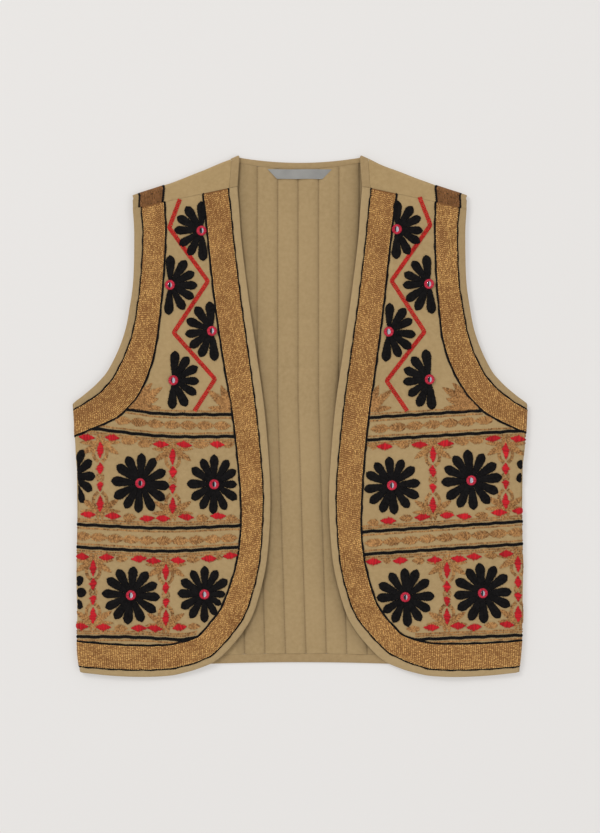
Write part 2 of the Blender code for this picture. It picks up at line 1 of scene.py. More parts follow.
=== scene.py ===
"""Looks of the embroidered waistcoat, laid flat: cloth, stitches, mirrors, light and camera.

Sizes are in millimetres and become metres when a mesh is made. A place on the cloth is
(x, y, lift): x outwards from the centre line and y along the body, both measured along the
cloth, and lift out of its outer face. The wearer's right side is at -X.
"""

import json
import math

import bmesh
import bpy
import numpy as np
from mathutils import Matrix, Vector

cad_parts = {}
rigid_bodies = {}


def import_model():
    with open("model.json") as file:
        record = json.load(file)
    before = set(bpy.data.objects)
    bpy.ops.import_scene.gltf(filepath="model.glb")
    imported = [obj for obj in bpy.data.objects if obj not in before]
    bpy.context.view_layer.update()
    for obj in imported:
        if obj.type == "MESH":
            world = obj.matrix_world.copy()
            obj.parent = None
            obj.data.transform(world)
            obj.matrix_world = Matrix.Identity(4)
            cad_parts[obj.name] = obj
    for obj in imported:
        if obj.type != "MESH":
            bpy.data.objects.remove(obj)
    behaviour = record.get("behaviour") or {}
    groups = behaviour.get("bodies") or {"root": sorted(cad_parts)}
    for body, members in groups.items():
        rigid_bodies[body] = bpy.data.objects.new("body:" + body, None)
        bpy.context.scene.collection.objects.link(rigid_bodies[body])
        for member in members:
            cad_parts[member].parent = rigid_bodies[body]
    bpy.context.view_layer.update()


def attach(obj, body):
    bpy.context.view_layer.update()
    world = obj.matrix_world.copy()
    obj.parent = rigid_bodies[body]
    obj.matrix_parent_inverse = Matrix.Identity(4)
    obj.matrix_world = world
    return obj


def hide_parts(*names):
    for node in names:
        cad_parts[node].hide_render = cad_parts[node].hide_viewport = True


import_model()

MM = 0.001
BODY = "root"

# Cloth and seams
GAP = 0.3
SEAM = 0.15
FRONT_WALL = 2.2
QUILT_SEAM_WALL = 1.2
QUILT_CREST_WALL = 2.7
FOLD_WALL = 2.0
BINDING_SWELL = 0.3
BINDING_FOLD = 0.10
BINDING_STEPS = 7
SWELL_POWER = 0.8
BAND_LIFT = GAP + 0.55
BAND_EDGE = 0.04
# Section of a gold band. Columns: share of the width, lift
BAND_SECTION = (
    (0.0, GAP), (0.0, BAND_LIFT - 0.3), (BAND_EDGE, BAND_LIFT), (0.5, BAND_LIFT),
    (1.0 - BAND_EDGE, BAND_LIFT), (1.0, BAND_LIFT - 0.3), (1.0, GAP),
)

# The fronts lie on the back, and rise a little from their free edge to the side
FREE_EDGE_X = 33.0
FREE_EDGE_TOP = 5.4
SIDE_X = 246.0
SIDE_TOP = 7.4

# Forward shoulder
SHOULDER_TIP = (184.3, 243.1)
NECK_POINT = (67.2, 287.2)
SHOULDER_LENGTH = math.dist(SHOULDER_TIP, NECK_POINT)
SEAM_AT_ARMHOLE = (183.6, 228.0)
SEAM_AT_NECK = (68.4, 252.4)
SHOULDER_SAG = 2.2
PRESSED = 0.35
FLAP_SHORTEST = 10.0
NECK_BINDING = 0.92
STAGE_LENGTH = 13.0
SHOULDER_BAND_END = 0.55
SHOULDER_BAND_ROWS = 19
SHOULDER_BAND_STATIONS = 20
# How far the black lines lie outside the shoulder's band, as shares of the shoulder
SHOULDER_LINES = (-0.004, 0.008)
# Dents of a shoulder flap. Columns: height, radians a millimetre across it and up it, shift
FLAP_DENTS = ((0.35, 0.09, 0.16, 1.0), (0.25, 0.17, -0.21, 2.0))
FLAP_SINK = 0.2
FLAP_FADE = 3.0

# Back: neckline, hem and quilted channels
NECK_LOW_Y = 278.9
NECK_STRIP = 7.0
HEM_MIDDLE_Y = -271.2
HEM_SIDE_DROP = 11.0
HEM_STRIP = 9.5
CHANNEL = 22.5
CHANNEL_SHIFT = -1.7
CHANNEL_LEAN = 9.0
LEAN_FROM_Y = 17.6
MIDDLE_CHANNELS = 7
# Shares of a channel at which the quilted back has its columns
CHANNEL_SHARES = (0.0, 0.025, 0.06, 0.12, 0.22, 0.36, 0.5, 0.64, 0.78, 0.88, 0.94, 0.975)
QUILT_GROOVE = 2.2
GROOVE_SHARE = 0.55
EASE_FROM = 50.0
NECK_EASE = 60.0
LAST_VISIBLE_X = 175.0
LINING_FADE = 12.0
# Painted shade on the lining: a painted shadow in the fold beside the fronts, painted shade in the groove
# at a quilting seam and on the channel's fall beside it, away from the light.
# Columns: darkness, reach
EDGE_PAINTED_SHADOW = (0.34, 9.5)
SEAM_PAINTED_SHADE = (0.22, 0.8)
FALL_PAINTED_SHADE = (0.10, 4.0)
QUILT_PITCH = 2.9
QUILT_STITCH = 2.0
QUILT_THREAD = (0.28, 0.22)

# Label, blank
LABEL_TOP_Y = 271.7
LABEL_BOTTOM_Y = 261.0
LABEL_TOP_HALF = 35.5
LABEL_BOTTOM_HALF = 25.0
LABEL_RAISE = 0.6
LABEL_ROWS = 7
LABEL_COLUMNS = 40

# Free edge of a front, from above the shoulder seam round the corner and past the side seam.
# Columns: x, y, widths of the binding and of the band on the right, and both on the left
FRONT_EDGE = (
    (68.8, 266.0, 10.6, 27.2, 10.6, 27.2),
    (68.4, 250.0, 10.4, 27.2, 10.4, 27.2),
    (66.2, 222.0, 9.6, 26.9, 9.6, 26.6),
    (63.8, 190.3, 8.9, 26.9, 8.9, 26.0),
    (56.0, 127.6, 9.1, 27.5, 9.1, 26.8),
    (46.9, 64.9, 9.5, 26.9, 9.5, 27.5),
    (39.0, 8.8, 9.8, 25.1, 9.8, 27.2),
    (34.3, -45.1, 9.0, 24.3, 9.0, 27.2),
    (32.2, -86.9, 8.5, 23.6, 8.5, 27.1),
    (33.5, -128.7, 8.5, 22.2, 8.5, 25.0),
    (38.1, -170.5, 8.3, 23.5, 8.3, 25.6),
    (49.4, -212.8, 8.4, 25.4, 8.8, 25.6),
    (60.0, -234.0, 8.6, 25.0, 10.0, 24.6),
    (75.1, -253.2, 8.7, 24.8, 10.9, 23.8),
    (91.6, -268.9, 8.2, 24.2, 11.0, 23.6),
    (110.0, -277.4, 7.8, 24.4, 10.2, 24.0),
    (127.6, -282.7, 7.8, 24.9, 9.0, 25.6),
    (145.2, -286.0, 8.0, 25.2, 8.0, 27.2),
    (173.8, -287.1, 8.2, 25.6, 8.2, 27.4),
    (206.8, -285.7, 7.8, 26.0, 7.8, 27.4),
    (246.0, -281.6, 7.0, 26.2, 7.0, 27.0),
    (275.0, -278.4, 7.0, 26.2, 7.0, 27.0),
)
CORNER = (75.1, -253.2)

# Armhole, from the shoulder down and past the side seam.
# Columns: x, y, widths of the binding and of the band on the right, and both on the left
ARMHOLE = (
    (184.6, 250.0, 9.7, 24.6, 8.8, 24.6),
    (183.6, 228.0, 9.7, 24.6, 8.8, 24.6),
    (182.1, 199.1, 10.3, 23.6, 9.2, 23.3),
    (183.2, 149.6, 8.7, 23.5, 8.7, 23.2),
    (187.6, 116.6, 8.9, 24.6, 8.1, 25.2),
    (192.0, 94.6, 9.1, 26.4, 8.5, 26.8),
    (199.7, 72.6, 9.4, 29.8, 9.2, 27.4),
    (210.7, 50.6, 9.6, 32.2, 9.0, 27.4),
    (219.5, 39.6, 10.1, 32.4, 8.8, 27.4),
    (231.0, 28.6, 9.7, 31.4, 8.4, 26.8),
    (250.1, 14.3, 7.3, 26.8, 6.8, 23.4),
    (275.0, 3.0, 6.0, 25.6, 6.0, 22.0),
)

# Side of the garment as it lies. Columns: y, half width
SIDE_LINE = (
    (-290.0, 241.2),
    (-264.0, 243.0),
    (-237.0, 244.3),
    (-180.4, 245.9),
    (-108.9, 244.8),
    (-59.4, 245.3),
    (-15.4, 248.1),
    (14.3, 250.1),
    (60.0, 250.1),
)

# Flowers. Columns: side, name, x, y, reach of the petals, squeeze across the
# body, turn in degrees, facing, CAD nodes
FLOWERS = (
    ("right", "tier_1_outer", 175.4, -73.9, 33.2, 0.94, 4.3, "all", 1),
    ("right", "tier_1_inner", 94.1, -75.1, 32.0, 0.91, 1.6, "all", 1),
    ("right", "tier_1_edge", 250.5, -66.5, 32.4, 0.78, 0.0, "cut", 5),
    ("right", "tier_2_outer", 185.6, -197.0, 31.4, 1.03, 5.0, "all", 1),
    ("right", "tier_2_inner", 104.9, -196.1, 31.0, 0.93, 1.1, "all", 1),
    ("right", "tier_2_edge", 260.4, -193.6, 32.4, 0.78, 0.0, "cut", 2),
    ("right", "chest_1", 108.0, 203.8, 30.0, 1.0, -0.9, "out", 1),
    ("right", "chest_2", 142.8, 144.1, 30.0, 1.0, 1.2, "in", 1),
    ("right", "chest_3", 96.5, 93.5, 30.0, 1.0, -5.9, "out", 1),
    ("right", "chest_4", 139.1, 39.3, 30.0, 1.0, 2.3, "in", 1),
    ("left", "tier_1_outer", 188.6, -70.8, 33.1, 1.0, 5.8, "all", 1),
    ("left", "tier_1_inner", 101.3, -76.2, 31.8, 1.0, 6.8, "all", 1),
    ("left", "tier_1_edge", 263.2, -60.5, 32.4, 0.78, 15.0, "cut", 1),
    ("left", "tier_2_outer", 201.2, -194.7, 32.4, 1.0, 4.4, "all", 1),
    ("left", "tier_2_inner", 116.1, -199.1, 32.2, 0.98, 3.7, "all", 1),
    ("left", "chest_1", 106.8, 205.3, 30.0, 1.0, -1.7, "out", 1),
    ("left", "chest_2", 142.2, 145.2, 30.4, 1.0, 4.3, "in", 1),
    ("left", "chest_3", 97.8, 92.7, 30.0, 1.0, -4.2, "out", 1),
    ("left", "chest_4", 142.9, 40.2, 30.2, 1.0, 6.0, "in", 1),
)
PETALS_ROUND = 12
PETALS_HALF = 7
HALF_FLOWER_STEP = 30.0
SHORTEST_PETAL = 0.3
REACH_TRIES = 30
CUT_SPREAD = 1.35
CUT_BACK = 3.4
BAND_CLEARANCE = 0.4

# A petal's shape, as shares of its reach
PETAL_WIDEST = 0.76
PETAL_HALF = 0.169
PETAL_ROOT = 0.70
OUTER_PETAL_GAIN = 0.075
MIDDLE_PETAL_LOSS = 0.10
PETAL_CREST = 1.1
PETAL_PITCH = 1.25
PETAL_RINGS = 16
PETAL_COLUMNS = 7
PETAL_START = 2.0
PETAL_GROUND = 0.94
PETAL_SLANT = 2.4
PETAL_RAGGED = (-0.45, 0.6)
PETAL_THREAD = (0.74, 0.42)
PETAL_SPREAD = (0.965, 1.03)
PETAL_SWAY = 2.4
# Shares of a petal's stitch at its four places, from the middle line to the edge
PETAL_STITCH = (0.0, 0.35, 0.8, 1.0)
OVER_MIDDLE = 0.8

# Mirrors and the rings of stitches round them
MIRROR_SQUEEZE = 0.66
RING_RADIUS = 4.45
RING_LIFT = 2.3
RING_TURNS = 28
RING_SIDES = 6
RING_FLANK = 0.5
RING_STITCHES = 34
RING_SLANT = 0.16
RING_THREAD = (0.42, 0.35)
# A ring's stitch, from inside outwards. Columns: radius, squeeze, lift
RING_STITCH = ((2.9, MIRROR_SQUEEZE, -0.1), (3.5, 0.76, 0.5), (4.9, 1.0, 0.45), (5.7, 1.0, -0.45))
# Rings of a mirror, from its middle over its edge to its base. Columns: radius, lift
MIRROR_RINGS = (
    (0.02, 0.22), (1.0, 0.21), (1.9, 0.18), (2.8, 0.12), (3.6, 0.02), (3.65, -0.5), (0.02, -0.5),
)
MIRROR_TURNS = 20
MIRROR_TILT = 0.05

# Black lines between the panels, from the side inwards. Columns: x, y
SEPARATORS = {
    "right": (
        ((191.1, 7.7), (149.3, 2.4), (72.3, 1.5)),
        ((232.9, -13.2), (149.3, -22.2), (70.1, -22.4)),
        ((244.4, -119.2), (149.3, -123.5), (65.7, -120.6)),
        ((243.9, -144.1), (184.5, -147.4), (135.6, -148.5), (66.3, -144.1)),
        ((241.7, -242.6), (184.5, -243.1), (131.7, -245.9), (113.5, -243.1)),
    ),
    "left": (
        ((200.5, 6.1), (75.1, -1.9)),
        ((245.6, -16.0), (74.0, -26.4)),
        ((244.5, -115.9), (68.5, -127.6)),
        ((245.6, -140.6), (69.6, -152.2)),
        ((243.9, -240.9), (127.5, -245.9)),
    ),
}

# Vines between two black lines, from the side inwards. Columns: x, y
VINES = {
    "right": (
        ((203.2, -3.9), (149.3, -9.4), (76.0, -11.0)),
        ((244.0, -131.8), (184.5, -135.9), (136.1, -137.5), (68.5, -134.0)),
    ),
    "left": (
        ((212.0, -4.0), (78.0, -14.7)),
        ((244.0, -127.4), (71.5, -140.2)),
    ),
}
VINE_PITCH = 18.7
VINE_WIDTH = 9.2
VINE_LEAST = 0.9

# Rows of short gold stitches beside the black lines
BESIDE_LINE = 3.7
TIER_SIDES = (0, -1, 1, -1, 1)
TIER_DISTANCE = BESIDE_LINE + 2.4
SHORT_PITCH = 1.45
SHORT_LENGTH = 2.6
SHORT_THREAD = (0.58, 0.55)
SHORT_RAGGED = (0.7, 1.15)
SHORT_WAVE = 0.15

# Black lines of stem stitch. Columns: width, height
BAND_LINE = (3.7, 0.9)
PANEL_LINE = (4.4, 1.0)
# The lines beside a band. Columns: share of the band's width, distance more
BESIDE_BAND = ((0.0, 0.1), (1.0, 0.7))
STEM_PITCH = 1.7
STEM_OVERLAP = 0.7
STEM_SLANT = 0.16
NEAR_SEAM = 8.0
LINE_WAVE = 0.28
WAVE_LENGTH = 23.0

# Rows of chain stitch. Columns: pitch of the links, their width, half width and height of the thread
BAND_CHAIN = (2.35, 0.62, 0.36, 0.5)
ZIGZAG_CHAIN = (1.9, 0.5, 0.5, 0.6)
SHORT_CHAIN = (2.3, 1.3, 0.55, 0.3)
VINE_CHAIN = (1.8, 2.2, 0.6, 0.5)
HALO_CHAIN = (1.6, 1.6, 0.62, 0.5)
OVAL_CHAIN = (1.6, 1.6, 0.5, 0.5)
BAND_ROW = 1.36
CHAIN_OVERLAP = 0.22
CHAIN_STRAY = 0.05

# Shades of the grounds under the stitches, from the darkest, 0, to the lightest, 1
BAND_TONE = 0.3
PETAL_TONE = 0.1
RING_TONE = 0.2
MIRROR_TONE = 0.5

# A long stitch's section. Columns: share of the half width, share of the height
STRAND_SECTION = ((1, 0.35), (0, 1.0), (-1, 0.35), (0, -0.3))

# Zigzag on the chest, from the shoulder down. Columns: x, y
ZIGZAGS = {
    "right": ((131.7, 238.7), (143.6, 207.1), (101.0, 148.2), (138.8, 91.6), (93.2, 40.7), (115.8, 5.5)),
    "left": ((131.5, 241.1), (143.8, 210.1), (100.9, 148.7), (137.3, 92.7), (95.5, 38.7), (118.0, 5.8)),
}
ZIGZAG_ROWS = 5
ZIGZAG_PITCH = 0.92
ZIGZAG_CORNER = 1.6

# Upright stacks of four red diamonds. Columns: x, y of each
RED_STACKS = {
    "right": (
        (219.5, (-37.4, -57.5, -77.6, -96.3)),
        (139.8, (-44.7, -61.6, -80.2, -98.5)),
        (227.2, (-167.2, -184.8, -202.4, -219.2)),
        (147.3, (-171.8, -188.8, -205.7, -221.9)),
    ),
    "left": (
        (226.5, (-38.5, -58.0, -75.5, -93.5)),
        (146.4, (-42.2, -60.5, -79.5, -97.6)),
        (240.0, (-162.8, -182.2, -199.1, -217.5)),
        (161.9, (-169.6, -187.6, -203.9, -220.4)),
    ),
}
# Columns: length, width, place of the widest part from -1, the lower end, to 1
STACK_SIZES = ((17.5, 8.4, 0.1), (12.5, 9.0, 0.0), (10.0, 8.6, 0.6), (17.5, 8.6, -0.1))

# Red diamonds in rows. Columns: x, y
RED_ROWS = {
    "right": (
        (234.1, -23.5), (206.2, -23.9), (152.8, -31.2), (127.1, -31.6), (90.7, -31.2),
        (232.8, -108.2), (205.4, -110.0), (167.8, -112.6), (150.6, -112.6), (125.1, -111.1), (89.8, -110.0),
        (239.4, -154.6), (212.5, -155.3), (176.8, -156.8), (160.7, -159.3), (134.0, -159.0), (99.9, -156.8),
        (76.6, -153.7),
        (240.4, -231.0), (215.9, -232.1), (176.8, -233.2), (159.4, -233.6), (132.2, -232.7),
    ),
    "left": (
        (239.9, -25.2), (212.6, -24.9), (160.5, -30.3), (131.9, -31.6), (93.2, -33.6),
        (241.8, -104.2), (219.2, -106.2), (180.6, -110.2), (161.9, -109.1), (134.8, -111.2), (97.3, -115.2),
        (227.0, -151.6), (191.7, -154.6), (175.0, -157.1), (148.2, -158.3), (110.6, -159.0), (81.1, -160.3),
        (227.8, -229.2), (191.7, -232.2), (174.0, -230.8), (144.8, -232.5),
    ),
}
RED_LENGTH = 16.6
RED_WIDTH = 8.4
RED_PITCH = 0.85
RED_THREAD = (0.62, 0.4)
RED_RAGGED = (0.74, 1.22)
RED_LEAST = 0.55
RED_LEAN = 0.5
RED_LIFTS = (GAP + 0.1, GAP + 0.6, GAP + 0.6, GAP + 0.1)
RED_LENGTHS = (0.92, 1.05)
RED_TILT = 0.07
ZIGZAG_LIFT = GAP + 0.1

# Gold leaf shapes between the red diamonds of the rows. Columns: x, y, length, width
GOLD_LENSES = {
    "right": (
        (187.2, -27.5, 17.0, 9.0), (169.5, -30.5, 16.0, 9.0), (108.3, -31.9, 17.0, 8.0),
        (77.8, -31.5, 11.0, 8.0), (186.7, -111.5, 14.0, 9.0), (106.8, -112.5, 13.0, 9.0),
        (74.5, -112.5, 12.0, 8.0), (195.3, -156.9, 13.0, 7.5), (117.0, -157.9, 14.0, 8.0),
        (88.3, -155.7, 7.0, 6.0), (196.2, -233.5, 14.0, 8.0), (116.0, -231.5, 13.0, 7.0),
    ),
    "left": (
        (193.9, -26.8, 15.0, 8.0), (177.8, -28.4, 15.0, 8.0), (112.9, -31.5, 14.0, 8.5),
        (80.5, -33.0, 9.0, 8.0), (199.6, -109.1, 14.0, 7.5), (116.5, -112.3, 14.0, 8.0),
        (80.4, -117.1, 12.0, 8.0), (210.0, -153.5, 14.0, 7.5), (130.2, -159.2, 13.0, 8.0),
        (95.5, -159.2, 8.0, 7.0), (210.0, -230.1, 14.0, 7.0), (124.5, -234.2, 14.0, 7.0),
    ),
}

# Leaves in the lower corners of the chest panel. Columns: x and y of both ends, width
OUTER_CORNER_LEAVES = (
    (184.0, 11.5, 151.5, 31.2, 10.5),
    (187.5, 8.6, 152.8, 9.2, 8.0),
    (183.0, 14.5, 162.5, 36.0, 9.0),
    (178.0, 12.5, 155.5, 19.0, 8.5),
    (189.0, 8.2, 174.0, 22.0, 8.0),
)
INNER_CORNER_LEAVES = (
    (77.0, 8.0, 101.0, 28.5, 9.0),
    (77.0, 9.5, 86.5, 33.5, 9.0),
    (76.5, 6.2, 100.5, 9.2, 7.0),
    (79.0, 12.0, 93.0, 17.5, 8.0),
    (75.5, 9.0, 79.0, 26.0, 6.0),
)
CORNER_SHIFT = {"right": 0.0, "left": 6.0}

# Gold work round a stack of red diamonds, from its end outwards. Columns: x and y of both ends, width
STACK_KNOTS = ((-2.4, -2.0, -2.4, 8.0, 4.6), (2.4, -2.0, 2.4, 8.0, 4.6))
STACK_LEAVES = ((3.0, -0.8, 22.0, -0.2, 4.6), (4.4, -3.0, 20.0, -13.2, 6.4))
# Its halo. Columns: x, y
STACK_HALO = ((3.6, -2.4), (6.2, -6.4), (7.4, -11.6), (6.2, -17.2), (2.2, -21.4))
HALO_ROWS = (-0.9, 0.9)
STACK_OVALS = ((2.0, 2.3), (4.0, 4.6))

# Leaves: pitch and size of their stitches, and the two stitches from the middle line to an edge
LEAF_PITCH = 0.95
LEAF_ROOT = 0.8
LEAF_SLANT = 0.22
LEAF_TIP = 0.3
LEAF_RAGGED = (0.8, 1.15)
LEAF_LEAST = 0.5
LEAF_THREAD = (0.58, 0.5)
LEAF_PARTS = ((-0.4, 0.55), (0.25, 1.0))

# Creases. Columns: x and y of both ends, width, height
RIGHT_CREASES = (
    (146.0, 110.0, 150.0, 70.0, 5.0, -0.6),
    (128.0, 60.0, 108.0, 18.0, 6.0, 0.5),
    (215.0, -40.0, 205.0, -105.0, 7.0, 0.5),
    (135.0, -50.0, 129.0, -100.0, 6.0, -0.4),
    (80.0, -30.0, 74.0, -110.0, 5.0, 0.4),
    (150.0, 190.0, 156.0, 235.0, 6.0, -0.5),
    (215.0, -165.0, 225.0, -225.0, 6.0, 0.4),
)
LEFT_CREASES = (
    (137.0, 112.0, 155.0, 76.0, 4.0, -0.7),
    (144.0, 118.0, 162.0, 84.0, 4.0, 0.5),
    (155.0, 215.0, 160.0, 168.0, 6.0, -0.5),
    (120.0, 66.0, 112.0, 20.0, 6.0, 0.5),
    (160.0, -40.0, 145.0, -100.0, 6.0, 0.5),
    (228.0, -45.0, 222.0, -105.0, 6.0, -0.5),
    (82.0, -30.0, 70.0, -100.0, 5.0, -0.4),
    (230.0, -165.0, 222.0, -225.0, 6.0, 0.4),
)
LINING_CREASES = (
    (-44.0, 109.0, 30.0, 106.0, 2.6, -0.7),
    (-30.0, 80.0, 42.0, 76.0, 2.2, 0.6),
    (-40.0, 51.0, 38.0, 54.0, 2.6, -0.7),
    (-36.0, 15.0, 20.0, 18.0, 2.2, -0.6),
    (-28.0, -15.0, 36.0, -18.0, 2.4, 0.6),
    (-34.0, -75.0, 26.0, -71.0, 2.6, -0.7),
    (-22.0, -192.0, 44.0, -196.0, 2.8, -0.7),
    (-30.0, 200.0, -24.0, 228.0, 2.0, -0.5),
    (10.0, 150.0, 34.0, 156.0, 2.0, -0.5),
    (-60.0, -232.0, 10.0, -226.0, 2.6, 0.6),
)

# Slow waves of the cloth. Columns: length, share of the height
WAVES = ((160, 0.36), (95, 0.28), (60, 0.2), (38, 0.11), (24, 0.05))
WAVES_EACH = 3
FRONT_UNEVEN = 0.95
BACK_UNEVEN = 0.5

# Seeds of the random draws
SEEDS = {
    "cloth_right": 11, "cloth_left": 23, "cloth_back": 5, "edge": 31, "armhole": 37, "shoulder": 47,
    "shoulder_lines": 48, "lines": 41, "red": 53, "gold": 61, "rings": 71, "mirrors": 73,
    "quilting": 83, "flowers": 100,
}

# Columns of the two edge tables that hold each side's widths
SIDE_WIDTHS = ((2, 3), (4, 5))

# How finely each piece is divided
CURVE_STEPS = 24
CURVE_SAMPLES = 900
CURL_STEPS = 8
EDGE_STATIONS = 420
HOLE_STATIONS = 108
SIDE_ROWS = 70
FRONT_COLUMNS = 62
BACK_OUTER_COLUMNS = 16
TURN_STEPS = 12
FLAP_STEPS = 12
NECK_STATIONS = 60
HEM_STATIONS = 150
SMOOTH_CLOTH = 50.0
SMOOTH_THREAD = 75.0
TINY = 1e-6

# Cottons. Columns: plain colour, darker patches, lightest threads, as screen colours
COTTONS = {
    "shell": ((166, 139, 97), (155, 129, 88), (178, 152, 109)),
    "lining": ((164, 139, 99), (153, 129, 90), (175, 150, 110)),
    # binding and front_binding are one cotton in two shades: binding is darker, partly painted shade for
    # the hem, which lies low, and front_binding is painted lighter, a painted highlight on the raised fold
    # of the free edges
    "binding": ((160, 135, 96), (151, 126, 87), (170, 145, 106)),
    "front_binding": ((168, 143, 103), (159, 134, 94), (178, 153, 113)),
}
# Colour that painted shade darkens the cloth towards
PAINTED_SHADE_COLOUR = (26, 20, 12)
WEAVE_PITCH = 0.00055
SATIN_PITCH = 0.0003

# Finishes of thread. Columns: roughness, sheen, specular
COTTON = (0.75, 0.08, 0.2)
WOOL = (0.9, 0.02, 0.1)
PADDING = (0.95, 0.0, 0.05)
# Threads. Columns: darkest and lightest stitch, as screen colours, finish
THREADS = {
    "gold_thread": ((143, 95, 48), (243, 197, 122), COTTON),
    "gold_ground": ((116, 76, 38), (138, 94, 52), COTTON),
    "dark_gold_thread": ((48, 29, 15), (158, 110, 70), COTTON),
    "black_thread": ((9, 8, 9), (24, 22, 22), WOOL),
    "black_ground": ((8, 7, 8), (12, 11, 12), PADDING),
    "red_thread": ((140, 6, 16), (210, 28, 40), COTTON),
    "vermilion_thread": ((158, 14, 16), (220, 48, 42), COTTON),
    "pink_thread": ((158, 12, 36), (210, 54, 76), COTTON),
    "pink_ground": ((126, 8, 30), (150, 18, 44), COTTON),
    "gold_motif_thread": ((92, 56, 24), (202, 150, 92), COTTON),
    "quilting_thread": ((104, 82, 52), (140, 116, 80), COTTON),
}
OWN_SHADE = 0.75

# Noise in the materials. Columns: scale, detail
CLOTH_PATCHES = (9.0, 3.0)
CLOTH_FIBRES = (260.0, 4.0)
CLOTH_WRINKLES = (62.0, 2.0)
THREAD_PATCHES = (45.0, 3.0)
THREAD_FIBRES = (1500.0, 2.0)
MIRROR_SMUDGES = (700.0, 3.0)
MIRROR_WAVES = (300.0, 2.0)
SATIN_PATCHES = (40.0, 2.0)
FLOOR_PATCHES = (2.0, 3.0)
WRINKLE_HEIGHT = 5.0
FIBRE_HEIGHT = 0.4

# Bumps. Columns: height in metres, strength
CLOTH_BUMP = (0.00012, 0.8)
THREAD_BUMP = (0.00015, 0.6)
MIRROR_BUMP = (0.0001, 0.3)
SATIN_BUMP = (0.00006, 0.6)

# Screen colours of the mirrors, the label and the floor
MIRROR_COLOURS = ((206, 204, 214), (176, 174, 188))
SATIN_COLOURS = ((120, 119, 117), (143, 142, 138))
SATIN_FLOATS = (164, 162, 157)
SATIN_FLOAT_SHARE = 0.35
FLOOR_COLOURS = ((176, 174, 172), (178, 176, 174))
FLOOR_GLOW_COLOUR = (231, 229, 227)

# Camera, floor and light
FRAME_HEIGHT = 916.3
CAMERA_DISTANCE = 3200.0
CAMERA_OFFSET = (0.27, -0.55)
SENSOR = 36.0
CLOTH_HEIGHT = 6.0
FLOOR_REACH = 6.0
FLOOR_Z = -0.0004
FLOOR_GLOW = 0.45
WORLD_LIGHT = 0.72
DARK_SIDE_LIGHT = 0.03
# Lamps. Columns: name, place in metres, size in metres, power in watts
LAMPS = (
    ("key", (-3.6, 3.4, 5.0), (2.6, 2.6), 200.0),
    ("fill", (4.2, -1.4, 5.0), (3.0, 3.0), 60.0),
)

SIDES = (("right", -1.0), ("left", 1.0))


def linear(red, green, blue):
    """A screen colour, 0 to 255, as the shader's linear values."""
    shares = [value / 255 for value in (red, green, blue)]
    values = [s / 12.92 if s <= 0.04045 else ((s + 0.055) / 1.055) ** 2.4 for s in shares]
    return (*values, 1.0)


def smooth_curve(rows):
    """A Catmull-Rom curve through the rows, every column with it, in even steps of length."""
    rows = np.array(rows, dtype=float)
    ends = np.vstack([2 * rows[0] - rows[1], rows, 2 * rows[-1] - rows[-2]])
    pieces = []
    for a, b, c, d in zip(ends, ends[1:], ends[2:], ends[3:]):
        t = np.linspace(0.0, 1.0, CURVE_STEPS, endpoint=False)[:, None]
        pieces.append(0.5 * (2 * b + (c - a) * t + (2 * a - 5 * b + 4 * c - d) * t**2
                             + (3 * b - a - 3 * c + d) * t**3))
    fine = np.vstack(pieces + [rows[-1:]])
    return resample(fine, CURVE_SAMPLES)


def unit(vector):
    return vector / np.hypot(*vector)


def left_of(runs):
    """Unit directions square to the runs, to their left."""
    length = np.maximum(np.hypot(runs[:, 0], runs[:, 1]), TINY)
    return np.column_stack([-runs[:, 1], runs[:, 0]]) / length[:, None]


def lengths_along(points):
    """Length of a line of points from its start to each of them."""
    steps = np.hypot(*np.diff(points[:, :2], axis=0).T)
    return np.concatenate([[0.0], np.cumsum(steps)])


def at_values(points, values, wanted):
    """Places between the points, where the values that they have reach the wanted ones."""
    return np.column_stack([np.interp(wanted, values, column) for column in points.T])


def resample(points, count):
    length = lengths_along(points)
    return at_values(points, length, np.linspace(0.0, length[-1], count))


def line_length(points):
    return float(lengths_along(points)[-1])


def stepped(line, pitch):
    """Places along a line in even steps of about the pitch."""
    return resample(line, max(int(line_length(line) / pitch), 1) + 1)


def cut_start(line, distance):
    """The line without a first stretch of that length."""
    length = lengths_along(line)
    return at_values(line, length, np.concatenate([[distance], length[length > distance]]))


def moved_in(curve, distance, turn=1.0):
    """The curve moved sideways, to its left for turn 1 and to its right for -1."""
    normal = left_of(np.gradient(curve[:, :2], axis=0)) * turn
    return curve[:, :2] + normal * np.reshape(distance, (-1, 1))


def smooth_step(t):
    t = np.clip(t, 0.0, 1.0)
    return t * t * (3 - 2 * t)


def side_line(y):
    heights, halves = zip(*SIDE_LINE)
    return np.interp(y, heights, halves)


def front_top(x):
    """Height of a front's outer face."""
    return FREE_EDGE_TOP + (SIDE_TOP - FREE_EDGE_TOP) * (x - FREE_EDGE_X) / (SIDE_X - FREE_EDGE_X)


def side_fold(y):
    """Where the cloth starts to curl at the side, and the radius of that curl."""
    radius = front_top(side_line(y)) / 2
    return side_line(y) - radius, radius


def curled(x, y, lift, flat_height, way):
    """A place on a panel that curls at the side, downwards for way 1 and upwards for -1."""
    start, radius = side_fold(y)
    angle = np.maximum(np.abs(x) - start, 0.0) / radius
    past = np.abs(x) > start
    across = np.where(past, np.sign(x) * (start + (radius + lift) * np.sin(angle)), x)
    height = np.where(past, radius + way * (radius + lift) * np.cos(angle), flat_height)
    return np.stack(np.broadcast_arrays(across, y, height), axis=-1)


def on_front(x, y, lift):
    return curled(x, y, lift, front_top(x) + lift, 1)


def on_back(x, y, lift):
    return curled(x, y, lift, -lift, -1)


